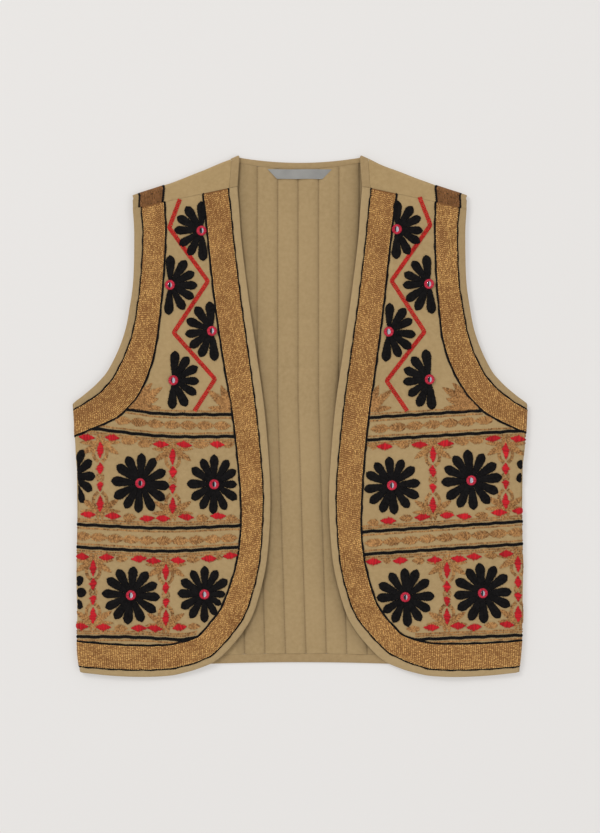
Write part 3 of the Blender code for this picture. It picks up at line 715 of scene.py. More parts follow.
def on_shoulder(across, stage, lift):
    """across runs from the armhole, 0, to the neck, 1. stage 0 to 1 is the turn over the
    shoulder line and 1 to 2 the flap down to the seam on the chest."""
    across, stage, lift = np.broadcast_arrays(*[np.asarray(v, float) for v in (across, stage, lift)])
    pressed = PRESSED + (1.0 - PRESSED) * smooth_step(2.0 * stage - 1.5)
    lift = np.where(lift > 0.0, lift * pressed, lift)
    tip, neck = np.array(SHOULDER_TIP), np.array(NECK_POINT)
    run = unit(neck - tip)
    inward = np.array([-run[1], run[0]])
    dip = SHOULDER_SAG * np.sin(math.pi * np.clip(across, 0, 1)) * smooth_step(2.0 * stage)
    fold = tip + (neck - tip) * across[..., None] + inward * dip[..., None]
    radius = front_top(fold[..., 0]) / 2
    angle = math.pi * np.minimum(stage, 1.0)
    reach = radius - (radius + lift) * np.sin(angle)
    turned = fold + inward * reach[..., None]
    turned_height = radius - (radius + lift) * np.cos(angle)
    seam = np.array(SEAM_AT_ARMHOLE) * (1 - across[..., None]) + np.array(SEAM_AT_NECK) * across[..., None]
    start = fold + inward * radius[..., None]
    flap = start + (seam - start) * np.maximum(stage - 1, 0.0)[..., None]
    past_turn = stage > 1
    place = np.where(past_turn[..., None], flap, turned)
    height = np.where(past_turn, front_top(flap[..., 0]) + lift, turned_height)
    return np.concatenate([place, height[..., None]], axis=-1)


def shoulder_start(across):
    return on_shoulder(across, 0.0, 0.0)[:2]


def turn_start():
    """The line where the back starts to turn over the shoulder, from the armhole to the neck."""
    return shoulder_start(0.0), shoulder_start(1.0)


def chest_seam():
    """The top of a front, half the seam's gap below the seam on the chest."""
    ends = np.array([SEAM_AT_ARMHOLE, SEAM_AT_NECK])
    run = unit(ends[1] - ends[0])
    return tuple(ends + np.array([run[1], -run[0]]) * SEAM / 2)


def cross(a, b):
    return a[..., 0] * b[..., 1] - a[..., 1] * b[..., 0]


def stations(points, count, top):
    """Places on a line of points between the line top and the side seam: count + 1 even ones
    before the side curl, then one for each step of the curl."""
    a, b = top
    height = cross(b - a, points - a)
    points = trimmed(points, height)
    start, radius = side_fold(points[:, 1])
    past = (points[:, 0] - start) / (radius * math.pi / 2)
    first = int(np.argmax(past > 0))
    before = np.vstack([points[:first], at_level(points, past, first, 0.0)])
    end = 1.0 - SEAM / 2 / (radius[first] * math.pi / 2)
    curl = [at_level(points, past, first, end * step / CURL_STEPS) for step in range(1, CURL_STEPS + 1)]
    return np.vstack([resample(before, count + 1)] + curl)


def trimmed(points, height):
    """The points from where their height over a line changes sign."""
    first = int(np.argmax(height * height[-1] > 0))
    share = height[first - 1] / (height[first - 1] - height[first])
    start = points[first - 1] + (points[first] - points[first - 1]) * share
    return np.vstack([start, points[first:]])


def at_level(points, values, first, level):
    """The point where the values, which rise from first - 1 on, reach a level."""
    return at_values(points[first - 1:], values[first - 1:], [level])


class Edge:
    """The lines that run along one edge of the cloth, each at its own distance from it."""

    def __init__(self, table, widths, turn, count, top):
        rows = np.array(table)
        self.curve = smooth_curve(rows[:, [0, 1, *widths]])
        self.turn, self.count, self.top = turn, count, top

    def line(self, bindings, bands, extra=0.0):
        """Stations at a share of the binding's width, a share of the band's and a distance more."""
        distance = self.curve[:, 2] * bindings + self.curve[:, 3] * bands + extra
        return stations(moved_in(self.curve, distance, self.turn), self.count, self.top)


class Relief:
    """Soft unevenness of the cloth: slow waves and single creases, both in millimetres."""

    def __init__(self, seed, height, creases):
        draw = np.random.default_rng(seed)
        self.waves = []
        for length, share in WAVES:
            for _ in range(WAVES_EACH):
                angle = draw.uniform(0, math.pi)
                turn = 2 * math.pi / (length * draw.uniform(0.8, 1.2))
                self.waves.append((math.cos(angle) * turn, math.sin(angle) * turn,
                                   draw.uniform(0, 2 * math.pi), height * share))
        self.creases = creases

    def __call__(self, x, y):
        total = 0.0 * (x + y)
        for along_x, along_y, phase, height in self.waves:
            total = total + height * np.sin(along_x * x + along_y * y + phase)
        for x1, y1, x2, y2, width, height in self.creases:
            total = total + crease(x, y, (x1, y1), (x2, y2), width, height)
        return total


def crease(x, y, start, end, width, height):
    """A soft ridge, or a trough where height is below 0, that fades at both ends."""
    run = np.array(end, float) - np.array(start, float)
    length = np.hypot(*run)
    run = run / length
    along = ((x - start[0]) * run[0] + (y - start[1]) * run[1]) / length
    off = (x - start[0]) * -run[1] + (y - start[1]) * run[0]
    fade = np.clip(along, 0, 1) * np.clip(1 - along, 0, 1) * 4
    return height * np.sqrt(fade) * np.exp(-(off / width) ** 2)


def give_values(mesh, name, values):
    """A value at each point of the mesh, for its material to read."""
    held = mesh.attributes.new(name, "FLOAT", "POINT")
    held.data.foreach_set("value", np.array(values, np.float32))


def add_mesh(name, points, faces, materials, side=1.0, slots=None, tones=None, smooth=SMOOTH_CLOTH):
    """One object from points in millimetres, its faces turned outwards."""
    places = np.array(points, float) * MM
    places[:, 0] *= side
    mesh = bpy.data.meshes.new(name)
    mesh.from_pydata(places.tolist(), [], faces)
    for material in materials:
        mesh.materials.append(material)
    if slots is not None:
        mesh.polygons.foreach_set("material_index", np.array(slots, np.int32))
    if tones is not None:
        give_values(mesh, "tone", tones)
    form = bmesh.new()
    form.from_mesh(mesh)
    bmesh.ops.recalc_face_normals(form, faces=form.faces)
    form.to_mesh(mesh)
    form.free()
    mesh.shade_smooth()
    mesh.set_sharp_from_angle(angle=math.radians(smooth))
    thing = bpy.data.objects.new(name, mesh)
    bpy.context.scene.collection.objects.link(thing)
    return thing


def finished(thing, slot, *nodes):
    """Rides on the body and stands for CAD nodes, which it hides; slot is not used."""
    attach(thing, BODY)
    if nodes:
        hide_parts(*nodes)
    return thing


def grid_cells(rows, columns):
    corner = (np.arange(rows - 1)[:, None] * columns + np.arange(columns - 1)).ravel()
    return np.column_stack([corner, corner + 1, corner + columns + 1, corner + columns])


def wall_faces(cells, count):
    """Faces of a wall: the cells, their copies on the inner face, and the rim between."""
    cells = np.array(cells)
    edges = np.vstack([cells[:, [i, (i + 1) % 4]] for i in range(4)])
    keys = np.sort(edges, axis=1)
    _, first, times = np.unique(keys, axis=0, return_index=True, return_counts=True)
    rims = edges[first[times == 1]]
    rim_faces = np.column_stack([rims[:, 1], rims[:, 0], rims[:, 0] + count, rims[:, 1] + count])
    return np.vstack([cells, cells[:, ::-1] + count, rim_faces]).tolist()


def add_wall(name, cells, outer, inner, materials, side=1.0):
    outer, inner = np.reshape(outer, (-1, 3)), np.reshape(inner, (-1, 3))
    faces = wall_faces(cells, len(outer))
    slots = None
    if len(materials) > 1:
        slots = [1 if len(cells) <= n < 2 * len(cells) else 0 for n in range(len(faces))]
    return add_mesh(name, np.vstack([outer, inner]), faces, materials, side, slots)


def loft_faces(rings, size):
    """Faces of equal rings joined in turn, closed with a cap at each end."""
    ring = np.arange(rings - 1)[:, None] * size
    i = np.arange(size)
    j = (i + 1) % size
    sides = np.stack([ring + i, ring + j, ring + size + j, ring + size + i], axis=-1).reshape(-1, 4)
    last = (rings - 1) * size
    return sides.tolist() + [list(range(size)), list(range(last, last + size))]


def strip_points(outside, inside, section, place):
    """Rings of a section, given as (share of the width, lift), along two lines of stations."""
    shares, lifts = np.array(section).T
    xy = outside[:, None] + (inside - outside)[:, None] * shares[:, None]
    return place(xy[..., 0], xy[..., 1], lifts[None, :] + 0 * xy[..., 0])


def rounded(top_swell, low_swell, low):
    """Section of a folded strip, from its seam over its round fold and back to its seam."""
    turns = [math.pi * i / BINDING_STEPS for i in range(BINDING_STEPS + 1)]
    swell = [math.sin(turn) ** SWELL_POWER for turn in turns]
    top = [(1.0 - i / BINDING_STEPS, top_swell * swell[i]) for i in range(BINDING_STEPS - 1)]
    angles = [math.pi * i / (BINDING_STEPS - 1) for i in range(BINDING_STEPS)]
    fold = [(BINDING_FOLD * (1 - math.sin(angle)), low / 2 * (1 - math.cos(angle))) for angle in angles]
    base = [(i / BINDING_STEPS, low - low_swell * swell[i]) for i in range(2, BINDING_STEPS + 1)]
    return top + fold + base


def blend_patch(bottom, top, left, right, shares):
    """A patch between four sides: bottom and top are functions of the share across, left and
    right are rows of points, and shares holds each row's shares across."""
    v = np.linspace(0.0, 1.0, len(left))[:, None, None]
    u = shares[:, :, None]
    edge = (1 - u) * left[:, None] + u * right[:, None]
    rim = (1 - v) * bottom(shares) + v * top(shares)
    corners = ((1 - v) * ((1 - u) * bottom(0.0) + u * bottom(1.0))
               + v * ((1 - u) * top(0.0) + u * top(1.0)))
    return edge + rim - corners


def along(points):
    """A function giving the points at shares of the length of a line of points."""
    points = np.array(points)
    length = lengths_along(points)
    return lambda u: np.stack([np.interp(u, length / length[-1], column) for column in points.T], -1)


def outer_side(hem_y, hole_stations):
    """Points up the side seam and on round the armhole, inside its binding."""
    y = hem_y + (hole_stations[-1][1] - hem_y) * np.arange(SIDE_ROWS) / SIDE_ROWS
    start, radius = side_fold(y)
    side = np.column_stack([start + radius * math.pi / 2 - SEAM / 2, y])
    return np.vstack([side, hole_stations[::-1]])


def shares_to_side(left, right, plain):
    """Shares across each row: plain even ones, then the steps of the side curl."""
    width = np.hypot(*(right - left).T)
    curl = side_fold(right[:, 1])[1] * math.pi / 2 - SEAM / 2
    start = (1.0 - curl / width)[:, None]
    before = start * np.linspace(0, 1, plain + 1)
    after = start + (1.0 - start) * np.arange(1, CURL_STEPS + 1) / CURL_STEPS
    return np.hstack([before, after])


def front_place(side_name):
    """Puts a place on one front's cloth, its unevenness included, in millimetres."""
    relief = FRONT_RELIEF[side_name]
    return lambda x, y, lift: on_front(x, y, lift + relief(x, y))


FRONT_RELIEF = {
    "right": Relief(SEEDS["cloth_right"], FRONT_UNEVEN, RIGHT_CREASES),
    "left": Relief(SEEDS["cloth_left"], FRONT_UNEVEN, LEFT_CREASES),
}
BACK_RELIEF = Relief(SEEDS["cloth_back"], BACK_UNEVEN, LINING_CREASES)


def front_edge_x(y):
    """x of the free edge of the fronts at a height on the body."""
    rows = [row for row in FRONT_EDGE if row[0] < LAST_VISIBLE_X]
    return np.interp(y, [row[1] for row in rows[::-1]], [row[0] for row in rows[::-1]])


def lining_relief(x, y):
    """Unevenness of the lining where it shows, none under the fronts."""
    return BACK_RELIEF(x, y) * smooth_step((front_edge_x(y) - np.abs(x) - 1.0) / LINING_FADE)


def channels_across(x, y):
    """Place across the quilting, counted in channels. A seam lies at each whole number."""
    return (x - CHANNEL_SHIFT - channel_lean(y)) / CHANNEL


def off_quilt_seam(across):
    return np.abs(across - np.round(across)) * CHANNEL


def lining_painted_shade(x, y):
    """Painted shade on the lining: a painted shadow in the fold beside the fronts, and painted shade along
    the quilting's grooves and falls.
    """
    from_edge = np.maximum(front_edge_x(y) - np.abs(x), 0.0)
    across = channels_across(x, y)
    to_next = CHANNEL - (across - np.floor(across)) * CHANNEL
    seam = SEAM_PAINTED_SHADE[0] * np.exp(-(off_quilt_seam(across) / SEAM_PAINTED_SHADE[1]) ** 2)
    painted_fall = FALL_PAINTED_SHADE[0] * np.exp(-(to_next / FALL_PAINTED_SHADE[1]) ** 2)
    return EDGE_PAINTED_SHADOW[0] * np.exp(-from_edge / EDGE_PAINTED_SHADOW[1]) + seam + painted_fall


def add_front(name, side, edge, hole, materials):
    """A front panel inside its bindings, from the corner of the hem up to the shoulder seam."""
    inset = edge.line(1.0, 0.0, SEAM / 2)
    armhole = hole.line(1.0, 0.0, SEAM / 2)
    turn = int(np.argmin(np.hypot(inset[:, 0] - CORNER[0], inset[:, 1] - CORNER[1])))
    right = outer_side(inset[-1][1], armhole)
    rise = along(inset[:turn + 1][::-1])
    left = rise((right[:, 1] - right[0][1]) / (right[-1][1] - right[0][1]))
    patch = blend_patch(along(inset[turn:]), along([left[-1], right[-1]]), left, right,
                        shares_to_side(left, right, FRONT_COLUMNS))
    x, y = patch[..., 0], patch[..., 1]
    place = front_place(name)
    piece = add_wall(f"cloth_front_{name}", grid_cells(*x.shape), place(x, y, 0.0),
                     place(x, y, -FRONT_WALL), materials, side)
    return finished(piece, "shell", f"front_{name}")


def hem_line(x):
    return HEM_MIDDLE_Y - HEM_SIDE_DROP * (x / SIDE_X) ** 2


def neck_seam(x, move):
    """y of the seam of the binding behind the neck, moved up or down a little."""
    low = NECK_LOW_Y - NECK_STRIP
    corner = shoulder_start(NECK_BINDING)
    return low + (corner[1] - low) * (x / corner[0]) ** 2 + move


def channel_lean(y):
    return CHANNEL_LEAN * np.clip((LEAN_FROM_Y - y) / (LEAN_FROM_Y - HEM_MIDDLE_Y), 0.0, 1.0)


def quilt_wall(x, y):
    """The back's thickness: thin at each seam of the quilting, full between."""
    off_seam = off_quilt_seam(channels_across(x, y))
    groove = 1.0 - np.exp(-(off_seam / QUILT_GROOVE) ** 0.9)
    crown = np.sin(math.pi * np.clip(off_seam / CHANNEL, 0, 1)) ** 0.8
    share = GROOVE_SHARE * groove + (1.0 - GROOVE_SHARE) * crown
    return QUILT_SEAM_WALL + (QUILT_CREST_WALL - QUILT_SEAM_WALL) * share


def middle_columns():
    """x of the columns in the middle of the back, before the lean and the ease at the neck."""
    half = MIDDLE_CHANNELS / 2
    shares = [n + share for n in range(-4, 4) for share in CHANNEL_SHARES]
    shares = [share for share in shares if -half < share < half]
    return np.array([-half] + shares + [half]) * CHANNEL + CHANNEL_SHIFT


def add_back(hole, materials):
    """The quilted back with both shoulder flaps."""
    hem_y = hem_line(SIDE_X) + HEM_STRIP + SEAM / 2
    right = outer_side(hem_y, hole.line(1.0, 0.0, SEAM / 2))
    neck = shoulder_start(NECK_BINDING) + np.array([SEAM / 2, 0.0])
    share = ((right[:, 1] - right[0][1]) / (right[-1][1] - right[0][1]))[:, None]
    rows = len(right)
    columns = middle_columns()
    half = (columns[-1] - columns[0]) / 2
    centred = columns - CHANNEL_SHIFT
    at_neck = np.where(np.abs(centred) < EASE_FROM, columns, 0.0)
    eased = EASE_FROM + (np.abs(centred) - EASE_FROM) * (neck[0] - EASE_FROM) / (half - EASE_FROM)
    at_neck = np.where(np.abs(centred) < EASE_FROM, at_neck, np.sign(centred) * eased)
    at_neck[0], at_neck[-1] = -neck[0], neck[0]
    top_y = neck_seam(np.clip(at_neck, -neck[0], neck[0]), -SEAM / 2)
    top_y[0] = top_y[-1] = neck[1]
    low_y = hem_line(columns + CHANNEL_LEAN) + HEM_STRIP + SEAM / 2
    y = low_y + (top_y - low_y) * share
    ease = np.clip(1.0 - (top_y - y) / NECK_EASE, 0.0, 1.0)
    free = columns + channel_lean(y)
    middle = np.stack([free + (at_neck - free) * ease, y], axis=-1)
    sides = {}
    for sign in (-1, 1):
        left = middle[:, -1 if sign > 0 else 0] * np.array([sign, 1.0])
        low = [(x, hem_line(x) + HEM_STRIP + SEAM / 2) for x in np.linspace(left[0][0], right[0][0], 24)]
        patch = blend_patch(along(low), along([left[-1], right[-1]]), left, right,
                            shares_to_side(left, right, BACK_OUTER_COLUMNS))
        sides[sign] = patch[:, 1:] * np.array([sign, 1.0])
    flat = np.concatenate([sides[-1][:, ::-1], middle, sides[1]], axis=1)
    x, y = flat[..., 0], flat[..., 1]
    outer_width = sides[1].shape[1]
    wall = quilt_wall(x, y)
    width = x.shape[1]
    beyond = np.abs(np.arange(width) - (width - 1) / 2) > (width - 1) / 2 - outer_width - 0.5
    wall = np.where(beyond, FOLD_WALL + 0 * wall, wall)
    relief = np.where(beyond, 0.0, lining_relief(x, y))
    outer = on_back(x, y, 0.0).reshape(-1, 3)
    inner = on_back(x, y, -wall - relief).reshape(-1, 3)
    cells = [grid_cells(rows, width)]
    for sign in (-1, 1):
        first = (rows - 1) * width
        if sign > 0:
            first += width - outer_width - 1
        row = np.arange(first, first + outer_width + 1)
        across = share_across(outer[row].T)
        flip = np.array([sign, 1.0, 1.0])
        for stage in turn_stages()[-2::-1]:
            new = len(outer) + np.arange(len(row))
            lumps = flap_relief(across, stage, sign)
            outer = np.vstack([outer, on_shoulder(across, stage, lumps) * flip])
            inner = np.vstack([inner, on_shoulder(across, stage, -FOLD_WALL) * flip])
            cells.append(np.column_stack([row[:-1], row[1:], new[1:], new[:-1]]))
            row = new
    piece = add_wall("cloth_back", np.vstack(cells), outer, inner, materials)
    # Painted shade on the lining's top face, held as the shade values that its material darkens by
    shade = np.zeros(2 * len(outer))
    shade[len(outer):len(outer) + x.size] = np.where(beyond, 0.0, lining_painted_shade(x, y)).ravel()
    give_values(piece.data, "shade", shade)
    return finished(piece, "lining", "back")


def flap_relief(across, stage, sign):
    """Soft dents across a shoulder flap, none at its seam."""
    u, v = across * SHOULDER_LENGTH, stage * STAGE_LENGTH
    fade = smooth_step((2.0 - stage) * FLAP_FADE)
    dents = sum(height * np.sin(turn_u * u + turn_v * v + shift * sign)
                for height, turn_u, turn_v, shift in FLAP_DENTS)
    return fade * (dents - FLAP_SINK)


def before_seam(stage):
    """Stops a flap half the seam's gap or more short of the seam on the chest."""
    return min(stage, 2.0 - SEAM / FLAP_SHORTEST)


def share_across(point):
    """The share across the shoulder of a point on the line where its turn starts."""
    ends = turn_start()
    return (ends[0][0] - abs(point[0])) / (ends[0][0] - ends[1][0])


def turn_stages():
    """From the seam on the chest back over the shoulder line."""
    flap = [2 - i / FLAP_STEPS for i in range(FLAP_STEPS)]
    turn = [1 - i / TURN_STEPS for i in range(TURN_STEPS + 1)]
    return np.array([before_seam(stage) for stage in flap + turn])


def shoulder_strip(outside, inside, stages, section):
    shares, lifts = np.array(section).T
    across = outside + (inside - outside) * shares
    return on_shoulder(across[None, :], np.reshape(stages, (-1, 1)), lifts[None, :])


def add_loft(name, rings, materials, side=1.0):
    rings = np.array(rings)
    return add_mesh(name, rings.reshape(-1, 3), loft_faces(*rings.shape[:2]), materials, side)


def add_edging(name, rings, material, side=1.0):
    finished(add_loft(f"edging_{name}", rings, [material], side), "binding", f"binding_{name}")


def add_bindings(edges, holes, back_hole, materials):
    """Folded strips of plain cloth along the free edges, the armholes, the neck and the hem."""
    front = rounded(BINDING_SWELL, BINDING_SWELL, -FRONT_WALL)
    back = rounded(0.0, BINDING_SWELL, -FOLD_WALL)
    plain = materials["binding"]
    seam = back_hole.line(1, 0, -SEAM / 2)
    over = shoulder_strip(0.0, share_across(seam[0]), turn_stages(), back)
    down = strip_points(back_hole.line(0, 0), seam, back, on_back)
    for name, side in SIDES:
        place = front_place(name)
        strips = (("", edges[name], materials["front_binding"]), ("armhole_", holes[name], plain))
        for kind, lines, material in strips:
            rings = strip_points(lines.line(0, 0), lines.line(1, 0, -SEAM / 2), front, place)
            add_edging(f"{kind}front_{name}", rings, material, side)
        add_edging(f"armhole_back_{name}", np.concatenate([over, down[1:]]), plain, side)
    add_neck_binding(back, plain)
    add_hem_binding(back, plain)


def add_neck_binding(section, material):
    """From one seam on the chest over the shoulder, along the back of the neck to the other."""
    share = NECK_BINDING + SEAM / SHOULDER_LENGTH
    wing = shoulder_strip(1.0, share, turn_stages(), section)
    corner, end = shoulder_start(share), shoulder_start(1.0)
    u = np.linspace(1.0, -1.0, NECK_STATIONS * 2 + 1)[1:-1]
    outside = np.column_stack([end[0] * u, NECK_LOW_Y + (end[1] - NECK_LOW_Y) * u * u])
    inside = np.column_stack([corner[0] * u, neck_seam(corner[0] * u, SEAM / 2)])
    middle = strip_points(outside, inside, section, on_back)
    mirrored = wing[::-1] * np.array([-1.0, 1.0, 1.0])
    add_edging("neck", np.concatenate([wing, middle, mirrored]), material)


def add_hem_binding(section, material):
    start, radius = side_fold(hem_line(SIDE_X))
    curl = radius * math.pi / 2 - SEAM / 2
    right = start + curl * np.arange(CURL_STEPS, 0, -1) / CURL_STEPS
    xs = np.concatenate([right, np.linspace(start, -start, HEM_STATIONS), -right[::-1]])
    outside = np.column_stack([xs, hem_line(np.minimum(np.abs(xs), SIDE_X))])
    inside = outside + np.array([0.0, HEM_STRIP - SEAM / 2])
    add_edging("hem", strip_points(outside, inside, section, on_back), material)


class Stitches:
    """Gathers stitches and other small closed forms, to be made as one joined mesh."""

    def __init__(self, seed):
        self.points, self.faces, self.tones, self.slots = [], [], [], []
        self.count = 0
        self.draw = np.random.default_rng(seed)

    def put(self, points, faces, tones, slot):
        """points: forms x corners x 3, and the faces of one form."""
        forms, corners = points.shape[:2]
        shift = (np.arange(forms) * corners + self.count)[:, None]
        for face in faces:
            self.faces.append((shift + np.array(face)).tolist())
        self.slots += [np.full(forms, slot)] * len(faces)
        self.points.append(points.reshape(-1, 3))
        self.tones.append(np.repeat(tones, corners))
        self.count += forms * corners

    def form(self, rings, tone):
        """A closed form through rings, in the second material, as a ground for stitches."""
        self.put(rings.reshape(1, -1, 3), loft_faces(*rings.shape[:2]), np.array([tone]), 1)

    def spindles(self, start, end, thread, place, base=GAP, slot=0, tones=None):
        """Short stitches: closed spindles from start to end, lying at the lift base. thread is
        its half width and height."""
        half_width, height = thread
        side = left_of(end - start) * half_width
        middle = (start + end) / 2
        spots = np.stack([start, end, middle + side, middle - side, middle, middle], axis=1)
        low = base - 0.25 * height
        lifts = np.array([low, low, base + 0.2 * height, base + 0.2 * height, base + height, low])
        points = place(spots[..., 0], spots[..., 1], lifts[None, :] + 0 * spots[..., 0])
        faces = [(0, 2, 4), (0, 4, 3), (0, 3, 5), (0, 5, 2), (1, 4, 2), (1, 3, 4), (1, 5, 3), (1, 2, 5)]
        self.put(points, faces, self.shades(len(start)) if tones is None else tones, slot)

    def strands(self, spots, lifts, thread, place):
        """Long stitches through four places each, thick between the second and the third."""
        half_width, height = thread
        side = left_of(spots[:, 3] - spots[:, 0]) * half_width
        corners, rises = [spots[:, 0]], [lifts[:, 0]]
        for ring in (1, 2):
            for across, up in STRAND_SECTION:
                corners.append(spots[:, ring] + side * across)
                rises.append(lifts[:, ring] + height * up)
        corners.append(spots[:, 3])
        rises.append(lifts[:, 3])
        corners, rises = np.stack(corners, axis=1), np.stack(rises, axis=1)
        points = place(corners[..., 0], corners[..., 1], rises)
        faces = [(0, 1 + (i + 1) % 4, 1 + i) for i in range(4)]
        faces += [(1 + i, 1 + (i + 1) % 4, 5 + (i + 1) % 4, 5 + i) for i in range(4)]
        faces += [(9, 5 + i, 5 + (i + 1) % 4) for i in range(4)]
        self.put(points, faces, self.shades(len(spots)), 0)

    def shades(self, count):
        return self.draw.uniform(0.0, 1.0, count)

    def made(self, name, slot, materials, side, *nodes):
        """All the forms as one piece."""
        faces = [face for group in self.faces for face in group]
        thing = add_mesh(name, np.concatenate(self.points), faces, materials, side,
                         np.concatenate(self.slots), np.concatenate(self.tones), SMOOTH_THREAD)
        return finished(thing, slot, *nodes)


def chain_row(stitches, line, chain, place, base=GAP, slot=0):
    """A row of chain stitch along a line: each link is two strands that part and meet."""
    pitch, width, *thread = chain
    spots = stepped(line, pitch)
    run = np.diff(spots, axis=0)
    count = len(run)
    start, end = spots[:-1], spots[1:] + run * CHAIN_OVERLAP
    stray = stitches.draw.normal(0.0, CHAIN_STRAY, (count, 2)) * pitch
    tones = stitches.shades(count)
    for turn in (1, -1):
        tips = end + left_of(run) * turn * width / 2
        stitches.spindles(start + stray, tips + stray, thread, place, base, slot, tones)


def cord_line(stitches, line, size, place):
    """A line of stem stitch: short slanted stitches that overlap like a rope."""
    width, height = size
    spots = stepped(line, STEM_PITCH)
    run = np.diff(spots, axis=0)
    beyond = run * STEM_OVERLAP + left_of(run) * width * STEM_SLANT
    stitches.spindles(spots[:-1] - beyond, spots[1:] + beyond, (width / 2, height), place)


def add_bands(edges, holes, materials):
    """Gold bands of close rows of chain stitch on a plain ground of the same thread."""
    for name, side in SIDES:
        place = front_place(name)
        for band, lines in (("edge", edges[name]), ("armhole", holes[name])):
            stitches = Stitches(SEEDS[band] + int(side))
            rings = strip_points(lines.line(1, 0, GAP / 2), lines.line(1, 1), BAND_SECTION, place)
            stitches.form(rings, BAND_TONE)
            rows = int(np.mean(lines.curve[:, 3]) / BAND_ROW)
            for row in range(rows):
                line = lines.line(1.0, (row + 0.5) / rows)
                shift = stitches.draw.uniform(0.0, BAND_CHAIN[0])
                chain_row(stitches, cut_start(line, shift), BAND_CHAIN, place, BAND_LIFT)
            stitches.made(f"gold_band_{band}_{name}", "gold_thread", materials, side, f"band_{band}_{name}")


def add_shoulder_bands(hole, materials, black):
    """The stretch of the armhole's band on the shoulder, from the seam up over the shoulder line."""
    near = share_across(hole.line(1, 0, GAP / 2)[0])
    far = share_across(hole.line(1, 1)[0])
    stages = np.linspace(before_seam(2.0), SHOULDER_BAND_END, SHOULDER_BAND_STATIONS)
    for name, side in SIDES:
        stitches, lines = Stitches(SEEDS["shoulder"]), Stitches(SEEDS["shoulder_lines"])
        stitches.form(shoulder_strip(near, far, stages, BAND_SECTION), BAND_TONE)
        for row in range(SHOULDER_BAND_ROWS):
            across = near + (far - near) * (row + 0.5) / SHOULDER_BAND_ROWS
            chain_row(stitches, flap_line(across), BAND_CHAIN, on_flap, BAND_LIFT)
        stitches.made(f"gold_band_shoulder_{name}", "dark_gold_thread", materials, side,
                      f"band_shoulder_{name}")
        for across in (near + SHOULDER_LINES[0], far + SHOULDER_LINES[1]):
            cord_line(lines, flap_line(across), BAND_LINE, on_flap)
        lines.made(f"black_lines_shoulder_{name}", "black_thread", [black], side)


def on_flap(u, v, lift):
    """A place on the shoulder flap, across it and up it, both in millimetres."""
    return on_shoulder(u / SHOULDER_LENGTH, v / STAGE_LENGTH, lift)


def flap_line(across):
    """The line up the flap at a share across it, as long as the shoulder's band."""
    up = np.linspace(2.0 * STAGE_LENGTH, SHOULDER_BAND_END * STAGE_LENGTH, 30)
    return np.column_stack([np.full(30, across * SHOULDER_LENGTH), up])


def petal_half_width(r, reach, wedge):
    """Half the width of a petal at a distance from the flower's middle. wedge is half the angle
    between two petals, which meet near the middle."""
    widest = PETAL_WIDEST * reach
    inner = 1.0 - PETAL_ROOT * np.clip((widest - r) / widest, 0.0, 1.0)
    tip = np.clip((r - widest) / (reach - widest), 0.0, 1.0)
    body = PETAL_HALF * reach * inner * (1.0 - tip**2.5) ** 0.6
    return np.minimum(body, r * math.tan(wedge) * 0.98 + 0.2)


def seam_limit(y):
    """x of the side seam, along the cloth."""
    start, radius = side_fold(y)
    return start + radius * math.pi / 2 - GAP


def up_to_seam(spots, short=0.0):
    """The places, and those past the side seam moved back to it."""
    spots[..., 0] = np.minimum(spots[..., 0], seam_limit(spots[..., 1]) - short)
    return spots


def clear_reach(x, y, angle, reach, lines):
    """The longest reach along a direction that stays clear of the bands."""
    centre, way = np.array([x, y]), np.array([math.cos(angle), math.sin(angle)])
    for share in np.linspace(1.0, SHORTEST_PETAL, REACH_TRIES):
        tip = centre + way * reach * share
        near = min(np.min(np.hypot(*(line - tip).T)) for line in lines)
        if near > BAND_CLEARANCE and not any(crosses(centre, tip, line) for line in lines):
            return reach * share
    return reach * SHORTEST_PETAL


def crosses(start, end, line):
    a, b = line[:-1], line[1:]
    one = cross(end - start, a - start) * cross(end - start, b - start)
    two = cross(b - a, start - a) * cross(b - a, end - a)
    return bool(np.any((one < 0) & (two < 0)))


def petal_top(r, across, reach):
    """Lift of a petal's padding, for a share across it from -1 to 1."""
    rise = PETAL_CREST * np.sqrt(np.clip(1.0 - (r / reach) ** 6, 0.05, 1.0))
    return GAP + 0.15 + rise * np.sqrt(np.clip(1.0 - across**2, 0.0, 1.0)) * 0.9


